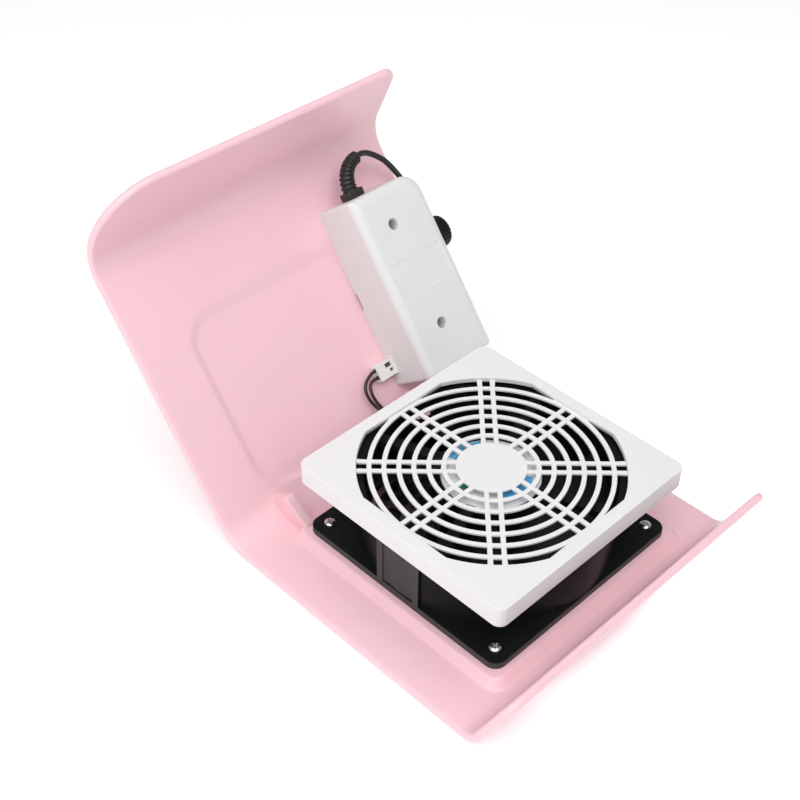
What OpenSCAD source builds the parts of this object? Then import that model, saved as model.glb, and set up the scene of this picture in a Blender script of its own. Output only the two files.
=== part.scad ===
// Nail dust collector, turned over to show its inside: a bent shell that lies on its fan panel,
// with a 120 mm axial fan, a clip-on guard, a control box and a power cord. Millimetres, +Z up.
// The outer face of the fan panel lies on z = 0, and the rear panel leans back towards +Y.

/* [Shell] */
// Width of the shell
shell_w = 178; // [170:1:186]
// Wall thickness of the shell
wall = 4; // [3.5:0.5:4.5]
// Angle that the rear panel rises at
rear_angle = 52.9; // [50:0.1:56]
// Length of the rear panel, from bend to crease, outside
rear_len = 150.2; // [148:0.1:154]
// Length of the front lip, outside
front_lip = 40.5; // [36:0.5:44]
// Length of the rear lip, outside
rear_lip = 46.2; // [42:0.1:50]
// Turn of the front lip
front_turn = 64; // [60:1:68]
// Turn of the rear lip
rear_turn = 62; // [58:1:64]

/* [Fan] */
// Side of the square fan frame
fan_side = 120; // [119:0.5:120]
// Axial length of the fan
fan_h = 38; // [38:1:40]
// Distance between the fan's screw holes
fan_pitch = 104.8; // [104:0.1:105]
// Bore of the fan's duct
duct_d = 116; // [114:1:117]
// Number of impeller blades
blades = 7; // [5:1:9]

/* [Guard] */
// Side of the square filter guard
guard_side = 124.8; // [124.4:0.2:126]
// Height of the guard's skirt
skirt_h = 10.9; // [9:0.1:11]
// Number of rings in the guard
guard_rings = 6; // [4:1:6]

/* [Control box] */
// Width of the control box
box_w = 45; // [43:1:46]
// Length of the control box along the rear panel
box_l = 97; // [95:1:99]
// Height of the control box above the shell's outside face
box_top = 33.5; // [32:0.5:36]
// Diameter of the speed knob
knob_d = 17; // [15:0.5:18]

/* [Cord] */
// Diameter of the power cord
cord_d = 3; // [2.8:0.1:3.4]

/* [Hidden] */
$fn = 72;
eps = 0.01;
fit = 0.05;

// Place of the fan's axis, with the origin under the middle of the shell
fan_x = 1;
fan_y = -38.6;

// Shell outline, as outer corner points measured from the fan's axis
front_y = -74.6;
bend_y = 82.4;
front_r = 12;
bend_r = 25;
rear_r = 22;
shell_x0 = -shell_w / 2 - fan_x;
platform_z = 8;
pad_depth = 1.2;

// Fan levels
flange_t = 4;
fan_z0 = platform_z;
fan_z1 = fan_z0 + fan_h;
hole_at = fan_pitch / 2;
hub_r = 22.5;
mount_r = 24;
shaft_r = 1.5;
bearing_r = 4;
tube_r = 5.6;
duct_t = 1.6;
pad_w = 26;
pocket_w = 18.6;
label_z = fan_z1 - 1.4;
label_r = 23.2;
mount_t = 2.6;

// Guard levels and the sizes of its grid, which lies below the frame's top
guard_z1 = 51;
guard_t = 2.7;
grid_t = 1.2;
grid_disc_r = 16.3;
bar_half = 1.15;
bar_at = 3;
opening_r = 61.4;
opening_side = 112;

// Control box, in the rear panel's own frame: x across, y up the slope, z off its outside face
box_x0 = 34;
box_x1 = box_x0 + box_w;
box_y0 = 23.5;
box_y1 = box_y0 + box_l;
box_z0 = wall - pad_depth;
box_wall = 2;
box_screw_at = [[54.2, 46.3], [52.4, 101.3]];
knob_at = [85.5, 18.5];
knob_h = 10;
relief_at = [48, 18];
board_screw_at = [[46, 60], [71, 60], [46, 110], [71, 106]];
socket_y = 35.5;
socket_z = 6;
board_z = 7;
board_t = 1.6;

// Power cord, as points from the strain relief's tip over the shell's edge and down behind it
cord_route = [
    [59.8, 151.5, 121.2], [63.8, 152, 121.3], [68, 151.9, 119.9], [72.5, 150.7, 117.1],
    [77.5, 148.9, 112.7], [82, 146.5, 106.3], [86, 144.3, 99.3], [89.5, 142.8, 92.3],
    [91.4, 142.9, 85.5], [91.6, 143.8, 77], [91, 145.2, 67], [89, 147.2, 56], [85.5, 149.6, 45],
    [81, 152.2, 34.5], [75, 154.6, 25.5], [68, 156.6, 18.5], [60, 158, 14], [52, 158.5, 12],
    [44, 158.6, 11.6]
];
tail_route = [
    [23.4, 138, 2.5], [23.4, 131, 2.4], [22, 124.5, 2.7], [18.2, 119, 3.6], [12.8, 115.3, 5],
    [7, 113.4, 6.3], [1, 113, 7], [-4, 113, 7]
];
coil_at = [44, 138];
coil_r = 17.3;
coil_w = 9.8;
coil_h = 12.4;
coil_z = 0.7;
plug_at = [-4, 113, 7];

// Fan leads, as points from the plug on the control box down to the notch in the fan's duct
lead_upper = [
    [23.95, 100.2, 33.4], [21, 100.1, 33.4], [17.5, 99, 33], [14.2, 97.6, 31.6], [12.2, 95.6, 29],
    [12.2, 92.9, 25.4], [13.6, 90, 21.8], [14.6, 86.5, 20], [14.4, 81, 21], [13.6, 75, 25],
    [13, 68, 31], [12.6, 61, 35.5], [12.6, 57.5, 36]
];
lead_lower = [
    [23.95, 97.9, 30.4], [21.5, 97.9, 30.6], [18.5, 97.4, 30.8], [16, 96.2, 29.8], [14.9, 93.8, 26.8],
    [15.3, 91.2, 23.2], [16.6, 88, 20], [17, 83.5, 19.5], [16.8, 78, 22], [16.2, 71.5, 27.5],
    [15.6, 64, 33.5], [15.4, 57.5, 35.5]
];

// ---- helpers ----

module at_fan() translate([fan_x, fan_y, 0]) children();

// Puts children in the rear panel's frame
module on_rear() at_fan() translate([0, bend_y, 0]) rotate([rear_angle, 0, 0]) children();

// Rectangle with its own radius at each corner: lower left, lower right, upper right, upper left
module round_rect(size, r) {
    difference() {
        square(size);
        corner_cut([0, 0], r[0], 0);
        corner_cut([size[0], 0], r[1], 90);
        corner_cut(size, r[2], 180);
        corner_cut([0, size[1]], r[3], 270);
    }
}

// What is taken off a square corner to leave a round one
module corner_cut(at, r, turn) {
    translate(at) rotate(turn) difference() {
        translate([-1, -1]) square(r + 1);
        translate([r, r]) circle(r);
    }
}

// Square plate about the origin with round corners
module round_plate(side, r, z0, z1) {
    translate([-side / 2, -side / 2, z0]) linear_extrude(z1 - z0) round_rect([side, side], [r, r, r, r]);
}

module ring(r0, r1, z0, z1) {
    translate([0, 0, z0]) difference() {
        cylinder(r = r1, h = z1 - z0);
        translate([0, 0, -1]) cylinder(r = r0, h = z1 - z0 + 2);
    }
}

module corners(pitch) {
    for (x = [-1, 1], y = [-1, 1]) translate([x * pitch, y * pitch, 0]) children();
}

function unit(v) = v / norm(v);
function curve_point(a, b, c, d, t) =
    0.5 * ((2 * b) + (c - a) * t + (2 * a - 5 * b + 4 * c - d) * t * t + (3 * b - a - 3 * c + d) * t * t * t);

// Smooth curve through the points, with n steps between each pair
function smooth(p, n) = let (last = len(p) - 1) concat(
    [for (i = [0 : last - 1], k = [0 : n - 1])
        curve_point(p[max(i - 1, 0)], p[i], p[i + 1], p[min(i + 2, last)], k / n)],
    [p[last]]);

function tangent(p, i) = unit(p[min(i + 1, len(p) - 1)] - p[max(i - 1, 0)]);

// Tube of round section swept along points; r holds one radius per point
module sweep(p, r, sides, up) {
    rings = len(p);
    points = [for (i = [0 : rings - 1]) let (
            t = tangent(p, i),
            u = unit(cross(up, t)),
            v = cross(t, u)
        ) for (k = [0 : sides - 1]) p[i] + r[i] * (cos(k * 360 / sides) * u + sin(k * 360 / sides) * v)];
    sides_of = [for (i = [0 : rings - 2], k = [0 : sides - 1]) let (n = (k + 1) % sides)
        [i * sides + k, i * sides + n, (i + 1) * sides + n, (i + 1) * sides + k]];
    caps = [[for (k = [sides - 1 : -1 : 0]) k], [for (k = [0 : sides - 1]) (rings - 1) * sides + k]];
    polyhedron(points, concat([for (f = sides_of) [f[3], f[2], f[1], f[0]]],
        [for (f = caps) [for (k = [len(f) - 1 : -1 : 0]) f[k]]]), convexity = 6);
}

function same(p, value) = [for (i = p) value];

// ---- shell ----

bend_steps = 16;

// Points round a bend of radius r at an outer corner, turning left from a0 to a1, depth inside the wall
function bend_points(corner, r, a0, a1, depth) = let (
        run = r * tan((a1 - a0) / 2),
        centre = corner - run * [cos(a0), sin(a0)] + r * [-sin(a0), cos(a0)]
    ) [for (k = [0 : bend_steps]) let (a = a0 + (a1 - a0) * k / bend_steps)
        centre + (r - depth) * [sin(a), -cos(a)]];

// One side of the wall from the front lip's tip to the rear lip's tip, depth inside the outer face
function wall_side(depth) = let (
        top = rear_angle + rear_turn,
        crease = [bend_y, 0] + rear_len * [cos(rear_angle), sin(rear_angle)],
        front_tip = [front_y, 0] + front_lip * [-cos(front_turn), sin(front_turn)],
        rear_tip = crease + rear_lip * [cos(top), sin(top)]
    ) concat(
        [front_tip + depth * [sin(front_turn), cos(front_turn)]],
        bend_points([front_y, 0], front_r, -front_turn, 0, depth),
        bend_points([bend_y, 0], bend_r, 0, rear_angle, depth),
        bend_points(crease, rear_r, rear_angle, top, depth),
        [rear_tip + depth * [-sin(top), cos(top)]]);

function reversed(p) = [for (k = [len(p) - 1 : -1 : 0]) p[k]];

module shell_profile() polygon(concat(wall_side(0), reversed(wall_side(wall))));

// Takes the square corner off the end of a lip that is len long and seen flat
module lip_corner(len, r, side) {
    translate([side > 0 ? shell_x0 + shell_w : shell_x0, len, -10])
        mirror([side > 0 ? 0 : 1, 0, 0]) rotate(180) linear_extrude(30) difference() {
            translate([-5, -5]) square(r + 5);
            translate([r, r]) circle(r);
        }
}

module on_rear_lip() translate([0, bend_y + rear_len * cos(rear_angle), rear_len * sin(rear_angle)])
    rotate([rear_angle + rear_turn, 0, 0]) children();

module on_front_lip() translate([0, front_y, 0]) rotate([180 - front_turn, 0, 0]) children();

// Square frustum used for the fan platform and for the hollow under it
module frustum(low, high, z0, z1) hull() {
    round_plate(low, 8, z0, z0 + eps);
    round_plate(high, 5, z1 - eps, z1);
}

// Pad on the rear panel with sloped edges, z0 wide end and z1 narrow end
module pad(grow0, grow1, z0, z1) hull() {
    pad_level(grow0, z0);
    pad_level(grow1, z1 - eps);
}

module pad_level(grow, z) {
    for (x = [-44, 44], y = [30, 90]) translate([x, y, z]) cylinder(r = 18 + grow, h = eps, $fn = 32);
}

module box_outline(inset) {
    translate([box_x0 + inset, box_y0 + inset])
        round_rect([box_w - 2 * inset, box_l - 2 * inset], [2, 2, 10 - inset, 2]);
}

// Triangular rib in the bend beside the fan, at one side
module corner_rib(x) {
    translate([x, 0, 0]) rotate([90, 0, 90]) linear_extrude(5.6)
        polygon([[61, 2], [61, 8.6], [76, 17], [86, 9.6], [80, 2]]);
}

module shell_holes() {
    cylinder(r = 56, h = platform_z + 2, $fn = 96);
    corners(hole_at) translate([0, 0, 2.5]) cylinder(r = 1.5, h = 10, $fn = 24);
}

module shell() color([0.95, 0.76, 0.79]) at_fan() {
    difference() {
        union() {
            translate([shell_x0, 0, 0]) rotate([90, 0, 90]) linear_extrude(shell_w) shell_profile();
            frustum(134.4, 126, wall - 1, platform_z);
            translate([0, bend_y, 0]) rotate([rear_angle, 0, 0]) pad(0, -3, -pad_depth + 2.4, -pad_depth);
            corner_rib(-60);
            corner_rib(54.4);
        }
        on_rear_lip() {
            lip_corner(rear_lip, 30, -1);
            lip_corner(rear_lip, 8, 1);
        }
        on_front_lip() {
            lip_corner(front_lip, 12, -1);
            lip_corner(front_lip, 6, 1);
        }
        frustum(131, 121, -eps, platform_z - 3.5);
        translate([0, bend_y, 0]) rotate([rear_angle, 0, 0]) {
            pad(0, -5, wall + eps, box_z0);
            translate([0, 0, box_z0]) linear_extrude(5) box_outline(-0.15);
        }
        shell_holes();
    }
    difference() {
        corners(hole_at) translate([0, 0, 1]) cylinder(r = 4, h = platform_z - 1.5);
        corners(hole_at) translate([0, 0, 2.5]) cylinder(r = 1.5, h = 10, $fn = 24);
    }
    intake_grille();
    translate([0, bend_y, 0]) rotate([rear_angle, 0, 0]) {
        translate([36, 13, 2]) cube([5.6, 6.4, 6]);
        for (p = box_screw_at) translate([p[0], p[1], 2]) difference() {
            cylinder(r = 3.5, h = 11);
            translate([0, 0, 2]) cylinder(r = 1.5, h = 10, $fn = 24);
        }
    }
}

// Finger grille moulded across the intake
module intake_grille() {
    z0 = platform_z - 3.5;
    z1 = platform_z - 1.2;
    translate([0, 0, z0]) cylinder(r = 13, h = z1 - z0);
    for (r = [22, 31, 40, 49]) ring(r, r + 2.4, z0, z1);
    for (a = [22.5 : 45 : 359]) rotate(a) translate([12, -1.3, z0]) cube([45, 2.6, z1 - z0]);
}

// ---- fan ----

module fan_frame() color([0.07, 0.07, 0.08]) at_fan() {
    difference() {
        union() {
            round_plate(fan_side, 6, fan_z0, fan_z0 + flange_t);
            round_plate(fan_side, 6, fan_z1 - flange_t, fan_z1);
            translate([0, 0, fan_z0]) cylinder(r = duct_d / 2 + duct_t, h = fan_h, $fn = 96);
            translate([-fan_side / 2, -pad_w / 2, fan_z0 + 1]) cube([4, pad_w, fan_h - 2]);
        }
        translate([-fan_side / 2 - 1, -pocket_w / 2, fan_z0 + flange_t + 0.2])
            cube([1.6, pocket_w, fan_h - 2 * flange_t - 0.4]);
        translate([0, 0, fan_z0 - 1]) cylinder(r = duct_d / 2, h = fan_h + 2, $fn = 96);
        corners(hole_at) translate([0, 0, fan_z0 - 1]) cylinder(r = 2.2, h = fan_h + 2, $fn = 32);
        translate([10, duct_d / 2 - 3, fan_z1 - flange_t - 8]) cube([8, 8, 4]);
    }
    difference() {
        union() {
            translate([0, 0, label_z - mount_t]) cylinder(r = mount_r, h = mount_t);
            translate([0, 0, fan_z0 + 12.5]) cylinder(r = tube_r, h = label_z - fan_z0 - 12.5);
            for (a = [20 : 90 : 359]) rotate(a) translate([mount_r - 0.6, -3, fan_z1 - 4])
                cube([duct_d / 2 - mount_r + 1.4, 6, 4]);
        }
        translate([0, 0, fan_z0 + 12]) cylinder(r = bearing_r, h = fan_h);
    }
}

blade_rows = 5;
blade_steps = 6;

// Point on a blade's face: i steps out along it, j steps from leading to trailing edge, side is -1 or 1
function blade_point(i, j, side) = let (
        f = i / blade_rows,
        r = hub_r - 0.6 + f * (duct_d / 2 - 1.2 - hub_r + 0.6),
        c = j / blade_steps - 0.5,
        turn = 14 * f * f + c * (46 - 4 * f),
        rise = (24 - 5 * f) * c + 2.2 * (0.25 - c * c),
        t = 0.5 + 0.9 * sqrt(max(0, 1 - 4 * c * c)) * (1 - 0.35 * f)
    ) [r * cos(turn), r * sin(turn), rise + side * t];

module blade() {
    row = blade_steps + 1;
    size = row * (blade_rows + 1);
    pts = [for (side = [-1, 1], i = [0 : blade_rows], j = [0 : blade_steps]) blade_point(i, j, side)];
    low = [for (i = [0 : blade_rows - 1], j = [0 : blade_steps - 1]) let (a = i * row + j)
        each [[a, a + row, a + 1], [a + 1, a + row, a + row + 1]]];
    high = [for (f = low) [f[2] + size, f[1] + size, f[0] + size]];
    ends = [for (j = [0 : blade_steps - 1]) let (a = j, b = blade_rows * row + j) each [
        [a, a + 1, a + size], [a + 1, a + 1 + size, a + size],
        [b, b + size, b + 1], [b + 1, b + size, b + 1 + size]]];
    edges = [for (i = [0 : blade_rows - 1]) let (a = i * row, b = a + blade_steps) each [
        [a, a + size, a + row], [a + row, a + size, a + row + size],
        [b, b + row, b + size], [b + row, b + row + size, b + size]]];
    polyhedron(pts, concat(low, high, ends, edges), convexity = 4);
}

hub_z0 = fan_z0 + 4.5;
hub_z1 = fan_z1 - 6;

module fan_impeller() color([0.08, 0.08, 0.09]) at_fan() {
    difference() {
        translate([0, 0, hub_z0]) cylinder(r = hub_r, h = hub_z1 - hub_z0);
        translate([0, 0, hub_z0 + 2]) cylinder(r = hub_r - 1.7, h = fan_h);
        translate([0, 0, hub_z0 + 0.6]) cylinder(r = shaft_r, h = fan_h, $fn = 32);
    }
    ring(shaft_r, 4.2, hub_z0 + 1.5, hub_z0 + 5);
    for (k = [0 : blades - 1]) rotate(k * 360 / blades) translate([0, 0, (hub_z0 + hub_z1) / 2]) blade();
}

yoke_r = hub_r - 1.7;

module rotor_yoke() color([0.62, 0.63, 0.65]) at_fan() {
    ring(yoke_r - 1, yoke_r, hub_z0 + 2, hub_z1 - 1);
    ring(6, yoke_r, hub_z0 + 2, hub_z0 + 3);
}

module rotor_magnet() color([0.16, 0.15, 0.15]) at_fan()
    ring(yoke_r - 3.4, yoke_r - 1, hub_z0 + 4, hub_z1 - 2);

module fan_shaft() color([0.8, 0.8, 0.82]) at_fan() {
    difference() {
        translate([0, 0, hub_z0 + 0.6]) cylinder(r = shaft_r, h = fan_z1 - 3.2 - hub_z0, $fn = 32);
        ring(1.1, 3, fan_z1 - 4.2, fan_z1 - 3.6);
    }
}

// Ball bearing drawn as its outline: two races joined by the shield
module bearing(z0) {
    ring(shaft_r + fit, bearing_r, z0 + 0.3, z0 + 3.7);
    ring(shaft_r + fit, 2.3, z0, z0 + 4);
    ring(3.3, bearing_r, z0, z0 + 4);
}

module lower_bearing() color([0.72, 0.73, 0.75]) at_fan() bearing(fan_z0 + 13);
module upper_bearing() color([0.72, 0.73, 0.75]) at_fan() bearing(fan_z1 - 8.6);

spring_turns = 3;

module preload_spring() color([0.7, 0.7, 0.72]) at_fan() {
    z0 = hub_z0 + 5.35;
    rise = fan_z0 + 13 - 0.35 - z0;
    turn = spring_turns * 360;
    path = [for (a = [0 : 24 : turn]) [2.1 * cos(a), 2.1 * sin(a), z0 + rise * a / turn]];
    sweep(path, same(path, 0.28), 6, [0, 0, 1]);
}

module shaft_clip() color([0.35, 0.35, 0.37]) at_fan() difference() {
    ring(1.1, 2.7, fan_z1 - 4.15, fan_z1 - 3.65);
    translate([0, -0.8, fan_z1 - 5]) cube([4, 1.6, 2]);
}

stator_z0 = hub_z0 + 9;
stator_z1 = hub_z1 - 6;

module stator_core() color([0.45, 0.46, 0.48]) at_fan() {
    ring(tube_r, 8, stator_z0, stator_z1);
    for (a = [0 : 90 : 359]) rotate(a) {
        translate([7.5, -1.6, stator_z0]) cube([7.5, 3.2, stator_z1 - stator_z0]);
        intersection() {
            ring(14.4, yoke_r - 4, stator_z0, stator_z1);
            translate([5, -10, stator_z0 - 1]) cube([20, 20, 40]);
        }
    }
}

module stator_windings() color([0.72, 0.38, 0.16]) at_fan()
    for (a = [0 : 90 : 359]) rotate(a) difference() {
        translate([8.4, -3.4, stator_z0 - 1.8]) cube([5.6, 6.8, stator_z1 - stator_z0 + 3.6]);
        translate([8, -1.6, stator_z0]) cube([7, 3.2, stator_z1 - stator_z0]);
    }

module motor_board() color([0.12, 0.36, 0.2]) at_fan() {
    ring(tube_r, 16, hub_z1 - 3.6, hub_z1 - 2.2);
    translate([9, -3, hub_z1 - 2.2]) cube([4, 6, 1.4]);
    translate([-13, -1.5, hub_z1 - 2.2]) cube([3, 3, 1.2]);
}

module fan_label() color([0.93, 0.93, 0.92]) at_fan()
    translate([0, 0, label_z]) cylinder(r = label_r, h = 0.2);

module cross_head(r, h) difference() {
    cylinder(r = r, h = h, $fn = 32);
    for (a = [0, 90]) rotate(a) translate([-r * 0.6, -0.4, h - 1.1]) cube([r * 1.2, 0.8, 2]);
}

module fan_screws() color([0.82, 0.82, 0.84]) at_fan() corners(hole_at) {
    translate([0, 0, 3]) cylinder(r = 1.45, h = fan_z0 + flange_t - 3, $fn = 24);
    translate([0, 0, fan_z0 + flange_t]) cross_head(2.7, 2.1);
}

// ---- guard ----

ring_step = 6.78;
ring_outer = 55.55;

// The guard's opening: a circle cut flat at its four sides
module guard_opening() intersection() {
    circle(opening_r, $fn = 120);
    square(opening_side, center = true);
}

module guard_grid() {
    for (k = [0 : guard_rings - 1]) difference() {
        circle(ring_outer - k * ring_step + bar_half, $fn = 96);
        circle(ring_outer - k * ring_step - bar_half, $fn = 96);
    }
    circle(grid_disc_r);
    for (a = [0 : 45 : 359], side = [-bar_at, bar_at]) rotate(a)
        intersection() {
            translate([14, side - bar_half]) square([(a % 90 == 0) ? 42.5 : 47.5, 2 * bar_half]);
            circle(opening_r + 0.4, $fn = 96);
        }
}

module filter_guard() color([0.93, 0.93, 0.93]) at_fan() {
    translate([0, 0, guard_z1 - guard_t]) linear_extrude(guard_t) difference() {
        translate([-guard_side / 2, -guard_side / 2])
            round_rect([guard_side, guard_side], [4.5, 4.5, 4.5, 4.5]);
        guard_opening();
    }
    translate([0, 0, guard_z1 - guard_t]) linear_extrude(grid_t) guard_grid();
    difference() {
        round_plate(guard_side, 4.5, guard_z1 - skirt_h, guard_z1 - guard_t + eps);
        round_plate(guard_side - 3.8, 2.6, guard_z1 - skirt_h - 1, guard_z1);
    }
    corners(fan_side / 2 - 4.5) translate([-2, -2, fan_z1 + 0.05]) cube([4, 4, guard_z1 - guard_t - fan_z1]);
    for (a = [0 : 90 : 359], y = [-40, 40]) rotate(a)
        translate([fan_side / 2 + fit, y - 2, guard_z1 - skirt_h]) cube([1, 4, skirt_h - guard_t]);
}

// ---- control box, all in the rear panel's frame ----

module box_cover() color([0.9, 0.9, 0.9]) on_rear() difference() {
    union() {
        difference() {
            translate([0, 0, box_z0]) linear_extrude(box_top - box_z0) box_outline(0);
            translate([0, 0, box_z0 - 1]) linear_extrude(box_top - box_z0 + 1 - box_wall)
                box_outline(box_wall);
        }
        for (p = box_screw_at) translate([p[0], p[1], 13.2]) cylinder(r = 4.4, h = box_top - 13.7);
    }
    for (p = box_screw_at) translate([p[0], p[1], 0]) {
        translate([0, 0, 15.4]) cylinder(r = 2.8, h = 30);
        cylinder(r = 1.7, h = 30, $fn = 24);
    }
    translate([box_x0 + 4.5, 65, box_top - 0.3]) cube([box_w - 6, 18.4, 1]);
    translate([box_x0 - 1, 67, 0]) cube([4, 9, box_z0 + 1.8]);
    translate([box_x0 - 1, socket_y - 5.4, 0]) cube([4, 10.8, socket_z + 3.7]);
    translate([relief_at[0], box_y1 - 5, relief_at[1]]) rotate([-90, 0, 0])
        cylinder(r = 3.4, h = 10, $fn = 32);
    translate([box_x1 - 5, knob_at[0], knob_at[1]]) rotate([0, 90, 0])
        cylinder(r = 3.6, h = 10, $fn = 32);
}

module box_base() color([0.86, 0.86, 0.86]) on_rear() difference() {
    union() {
        translate([0, 0, box_z0]) linear_extrude(2) box_outline(box_wall + 0.2);
        for (p = board_screw_at) translate([p[0], p[1], box_z0]) cylinder(r = 2.6, h = board_z - box_z0);
    }
    for (p = box_screw_at) translate([p[0], p[1], 0]) cylinder(r = 3.8, h = 20);
    for (p = board_screw_at) translate([p[0], p[1], box_z0 + 1]) cylinder(r = 1.1, h = 20, $fn = 24);
    translate([box_x0 - 1, socket_y - 5.6, 0]) cube([10, 11.2, 10]);
}

module box_screws() color([0.75, 0.75, 0.77]) on_rear() for (p = box_screw_at) translate([p[0], p[1], 0]) {
    translate([0, 0, 4.5]) cylinder(r = 1.45, h = 11, $fn = 24);
    translate([0, 0, 15.4]) cross_head(2.6, 2);
}

board_top = board_z + board_t;

module control_board() color([0.13, 0.4, 0.22]) on_rear() difference() {
    translate([37.5, 29, board_z]) cube([38, 85, board_t]);
    translate([30, 20, 0]) cube([14, 23, 20]);
    for (p = box_screw_at) translate([p[0], p[1], 0]) cylinder(r = 4.7, h = 20);
    for (p = board_screw_at) translate([p[0], p[1], 0]) cylinder(r = 1.4, h = 20, $fn = 24);
    translate([67, 108, 0]) cube([20, 20, 20]);
}

module board_screws() color([0.75, 0.75, 0.77]) on_rear()
    for (p = board_screw_at) translate([p[0], p[1], 0]) {
        translate([0, 0, 4]) cylinder(r = 1.05, h = board_top - 4, $fn = 24);
        translate([0, 0, board_top]) cross_head(2, 1.5);
    }

module board_capacitor() color([0.15, 0.2, 0.4]) on_rear()
    translate([67, 72, board_top]) cylinder(r = 5, h = 12);

module board_inductor() color([0.75, 0.6, 0.25]) on_rear() {
    translate([43, 68, board_top]) cube([17, 20, 3]);
    translate([45.5, 68, board_top + 3]) cube([12, 20, 9]);
    translate([43, 68, board_top + 12]) cube([17, 20, 2.5]);
}

module board_rectifier() color([0.1, 0.1, 0.1]) on_rear()
    translate([47, 52, board_top]) cube([10, 3.6, 9]);

module board_transistor() color([0.12, 0.12, 0.12]) on_rear()
    translate([60, 34, board_top + 1.5]) cube([10, 4.5, 14]);

module board_heatsink() color([0.7, 0.71, 0.72]) on_rear() {
    translate([59.5, 38.5, board_top]) cube([15.2, 2, 17]);
    for (x = [59.5 : 3.5 : 74]) translate([x, 40, board_top]) cube([1.2, 9, 17]);
}

module board_fuse() color([0.85, 0.85, 0.8]) on_rear()
    translate([43, 92, board_top + 3.6]) rotate([-90, 0, 0]) {
        cylinder(r = 2.6, h = 15, $fn = 32);
        for (y = [0, 12]) translate([-2.6, 0, y]) cube([5.2, 3.6, 3]);
    }

module on_knob() on_rear() translate([0, knob_at[0], knob_at[1]]) rotate([0, 90, 0]) children();

module speed_control() color([0.3, 0.35, 0.4]) on_knob() {
    difference() {
        union() {
            translate([0, 0, box_x1 - box_wall - 8.5]) cylinder(r = 7.6, h = 8.5);
            translate([0, 0, box_x1 - box_wall - 1]) cylinder(r = 3.5, h = 6.2, $fn = 32);
        }
        translate([0, 0, box_x1 - box_wall - 7]) cylinder(r = 3 + fit, h = 20, $fn = 32);
    }
}

module control_shaft() color([0.8, 0.8, 0.8]) on_knob()
    translate([0, 0, box_x1 - box_wall - 6.8]) cylinder(r = 3, h = 15.6, $fn = 32);

module control_nut() color([0.8, 0.78, 0.7]) on_knob() difference() {
    translate([0, 0, box_x1]) cylinder(r = 5.6, h = 2, $fn = 6);
    translate([0, 0, box_x1 - 1]) cylinder(r = 3.5, h = 5, $fn = 32);
}

module speed_knob() color([0.08, 0.08, 0.09]) on_knob() translate([0, 0, box_x1 + 0.5]) difference() {
    cylinder(r = knob_d / 2, h = knob_h);
    translate([0, 0, -1]) cylinder(r = 6.4, h = 3.9);
    translate([0, 0, -1]) cylinder(r = 3, h = 7.4, $fn = 32);
    for (a = [0 : 15 : 359]) rotate(a) translate([knob_d / 2, 0, -1])
        cylinder(r = 0.45, h = 20, $fn = 16);
    translate([5.5, -0.5, knob_h - 0.6]) cube([4, 1, 2]);
}

module fan_socket() color([0.92, 0.91, 0.87]) on_rear() difference() {
    translate([box_x0, socket_y - 5.3, socket_z - 3.1]) cube([8, 10.6, 6.7]);
    translate([box_x0 - 1, socket_y - 4.3 - fit, socket_z - 2.6 - fit])
        cube([6, 8.6 + 2 * fit, 5.2 + 2 * fit]);
}

module fan_plug() color([0.94, 0.94, 0.93]) on_rear() difference() {
    translate([22.8, socket_y - 4.3, socket_z - 2.6]) cube([15.7, 8.6, 5.2]);
    for (y = [-1.9, 1.9]) translate([20, socket_y + y - 1.2, socket_z - 1.2]) cube([20, 2.4, 2.4]);
    translate([28.2, socket_y + 0.7, socket_z]) cube([4, 2.3, 5]);
    translate([30.2, socket_y - 2.1, socket_z]) cube([2.1, 1.7, 5]);
}

module plug_contacts() color([0.75, 0.7, 0.55]) on_rear() for (y = [-1.9, 1.9])
    translate([24, socket_y + y - 1.15, socket_z - 1.15]) cube([14, 2.3, 2.3]);

module lead(route) at_fan() {
    path = smooth(route, 2);
    sweep(path, same(path, 0.85), 8, [0.3, -0.3, 1]);
}

module fan_wire_upper() color([0.12, 0.07, 0.07]) lead(lead_upper);
module fan_wire_lower() color([0.2, 0.06, 0.07]) lead(lead_lower);

relief_rings = 10;
relief_plate = 4;

// Centre line of the strain relief's boot: a short straight, then an arc towards +X
function relief_path(t) = let (
        run = 0.8,
        bend = 13,
        turn = 85 * max(0, t * 1.04 - 0.04),
        y = box_y1 + relief_plate + run * min(1, t / 0.04) + bend * sin(turn)
    ) [relief_at[0] + bend * (1 - cos(turn)), y, relief_at[1]];

module strain_relief() color([0.09, 0.09, 0.1]) on_rear() {
    steps = relief_rings * 4;
    path = [for (k = [0 : steps]) relief_path(k / steps)];
    radii = [for (k = [0 : steps]) 4.1 - 0.8 * k / steps - ((k % 4) < 2 ? 0 : 0.6)];
    sweep(path, radii, 16, [0, 0, 1]);
    translate([relief_at[0] - 5.1, box_y1, relief_at[1] - 4.5]) cube([10.2, relief_plate, 9]);
    translate([relief_at[0], box_y1 - 4.5, relief_at[1]]) rotate([-90, 0, 0]) {
        cylinder(r = 3.4, h = 5.5, $fn = 32);
        cylinder(r = 4.6, h = 2, $fn = 32);
    }
}

// ---- cord ----

module power_cord() color([0.07, 0.07, 0.07]) at_fan() {
    path = smooth(cord_route, 2);
    sweep(path, same(path, cord_d / 2), 8, [0.1, 1, 0.1]);
}

module cord_coil() color([0.07, 0.07, 0.07]) at_fan()
    translate([coil_at[0], coil_at[1], coil_z]) rotate_extrude()
        translate([coil_r - coil_w / 2, 0]) round_rect([coil_w, coil_h], [1.4, 1.4, 1.4, 1.4]);

module cord_tail() color([0.07, 0.07, 0.07]) at_fan() {
    path = smooth(tail_route, 2);
    sweep(path, same(path, cord_d / 2), 8, [0.1, 1, 0.1]);
}

module on_plug() at_fan() translate(plug_at) rotate([0, -90, 0]) children();

plug_body = 34;
pin_pitch = 18.6;

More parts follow.
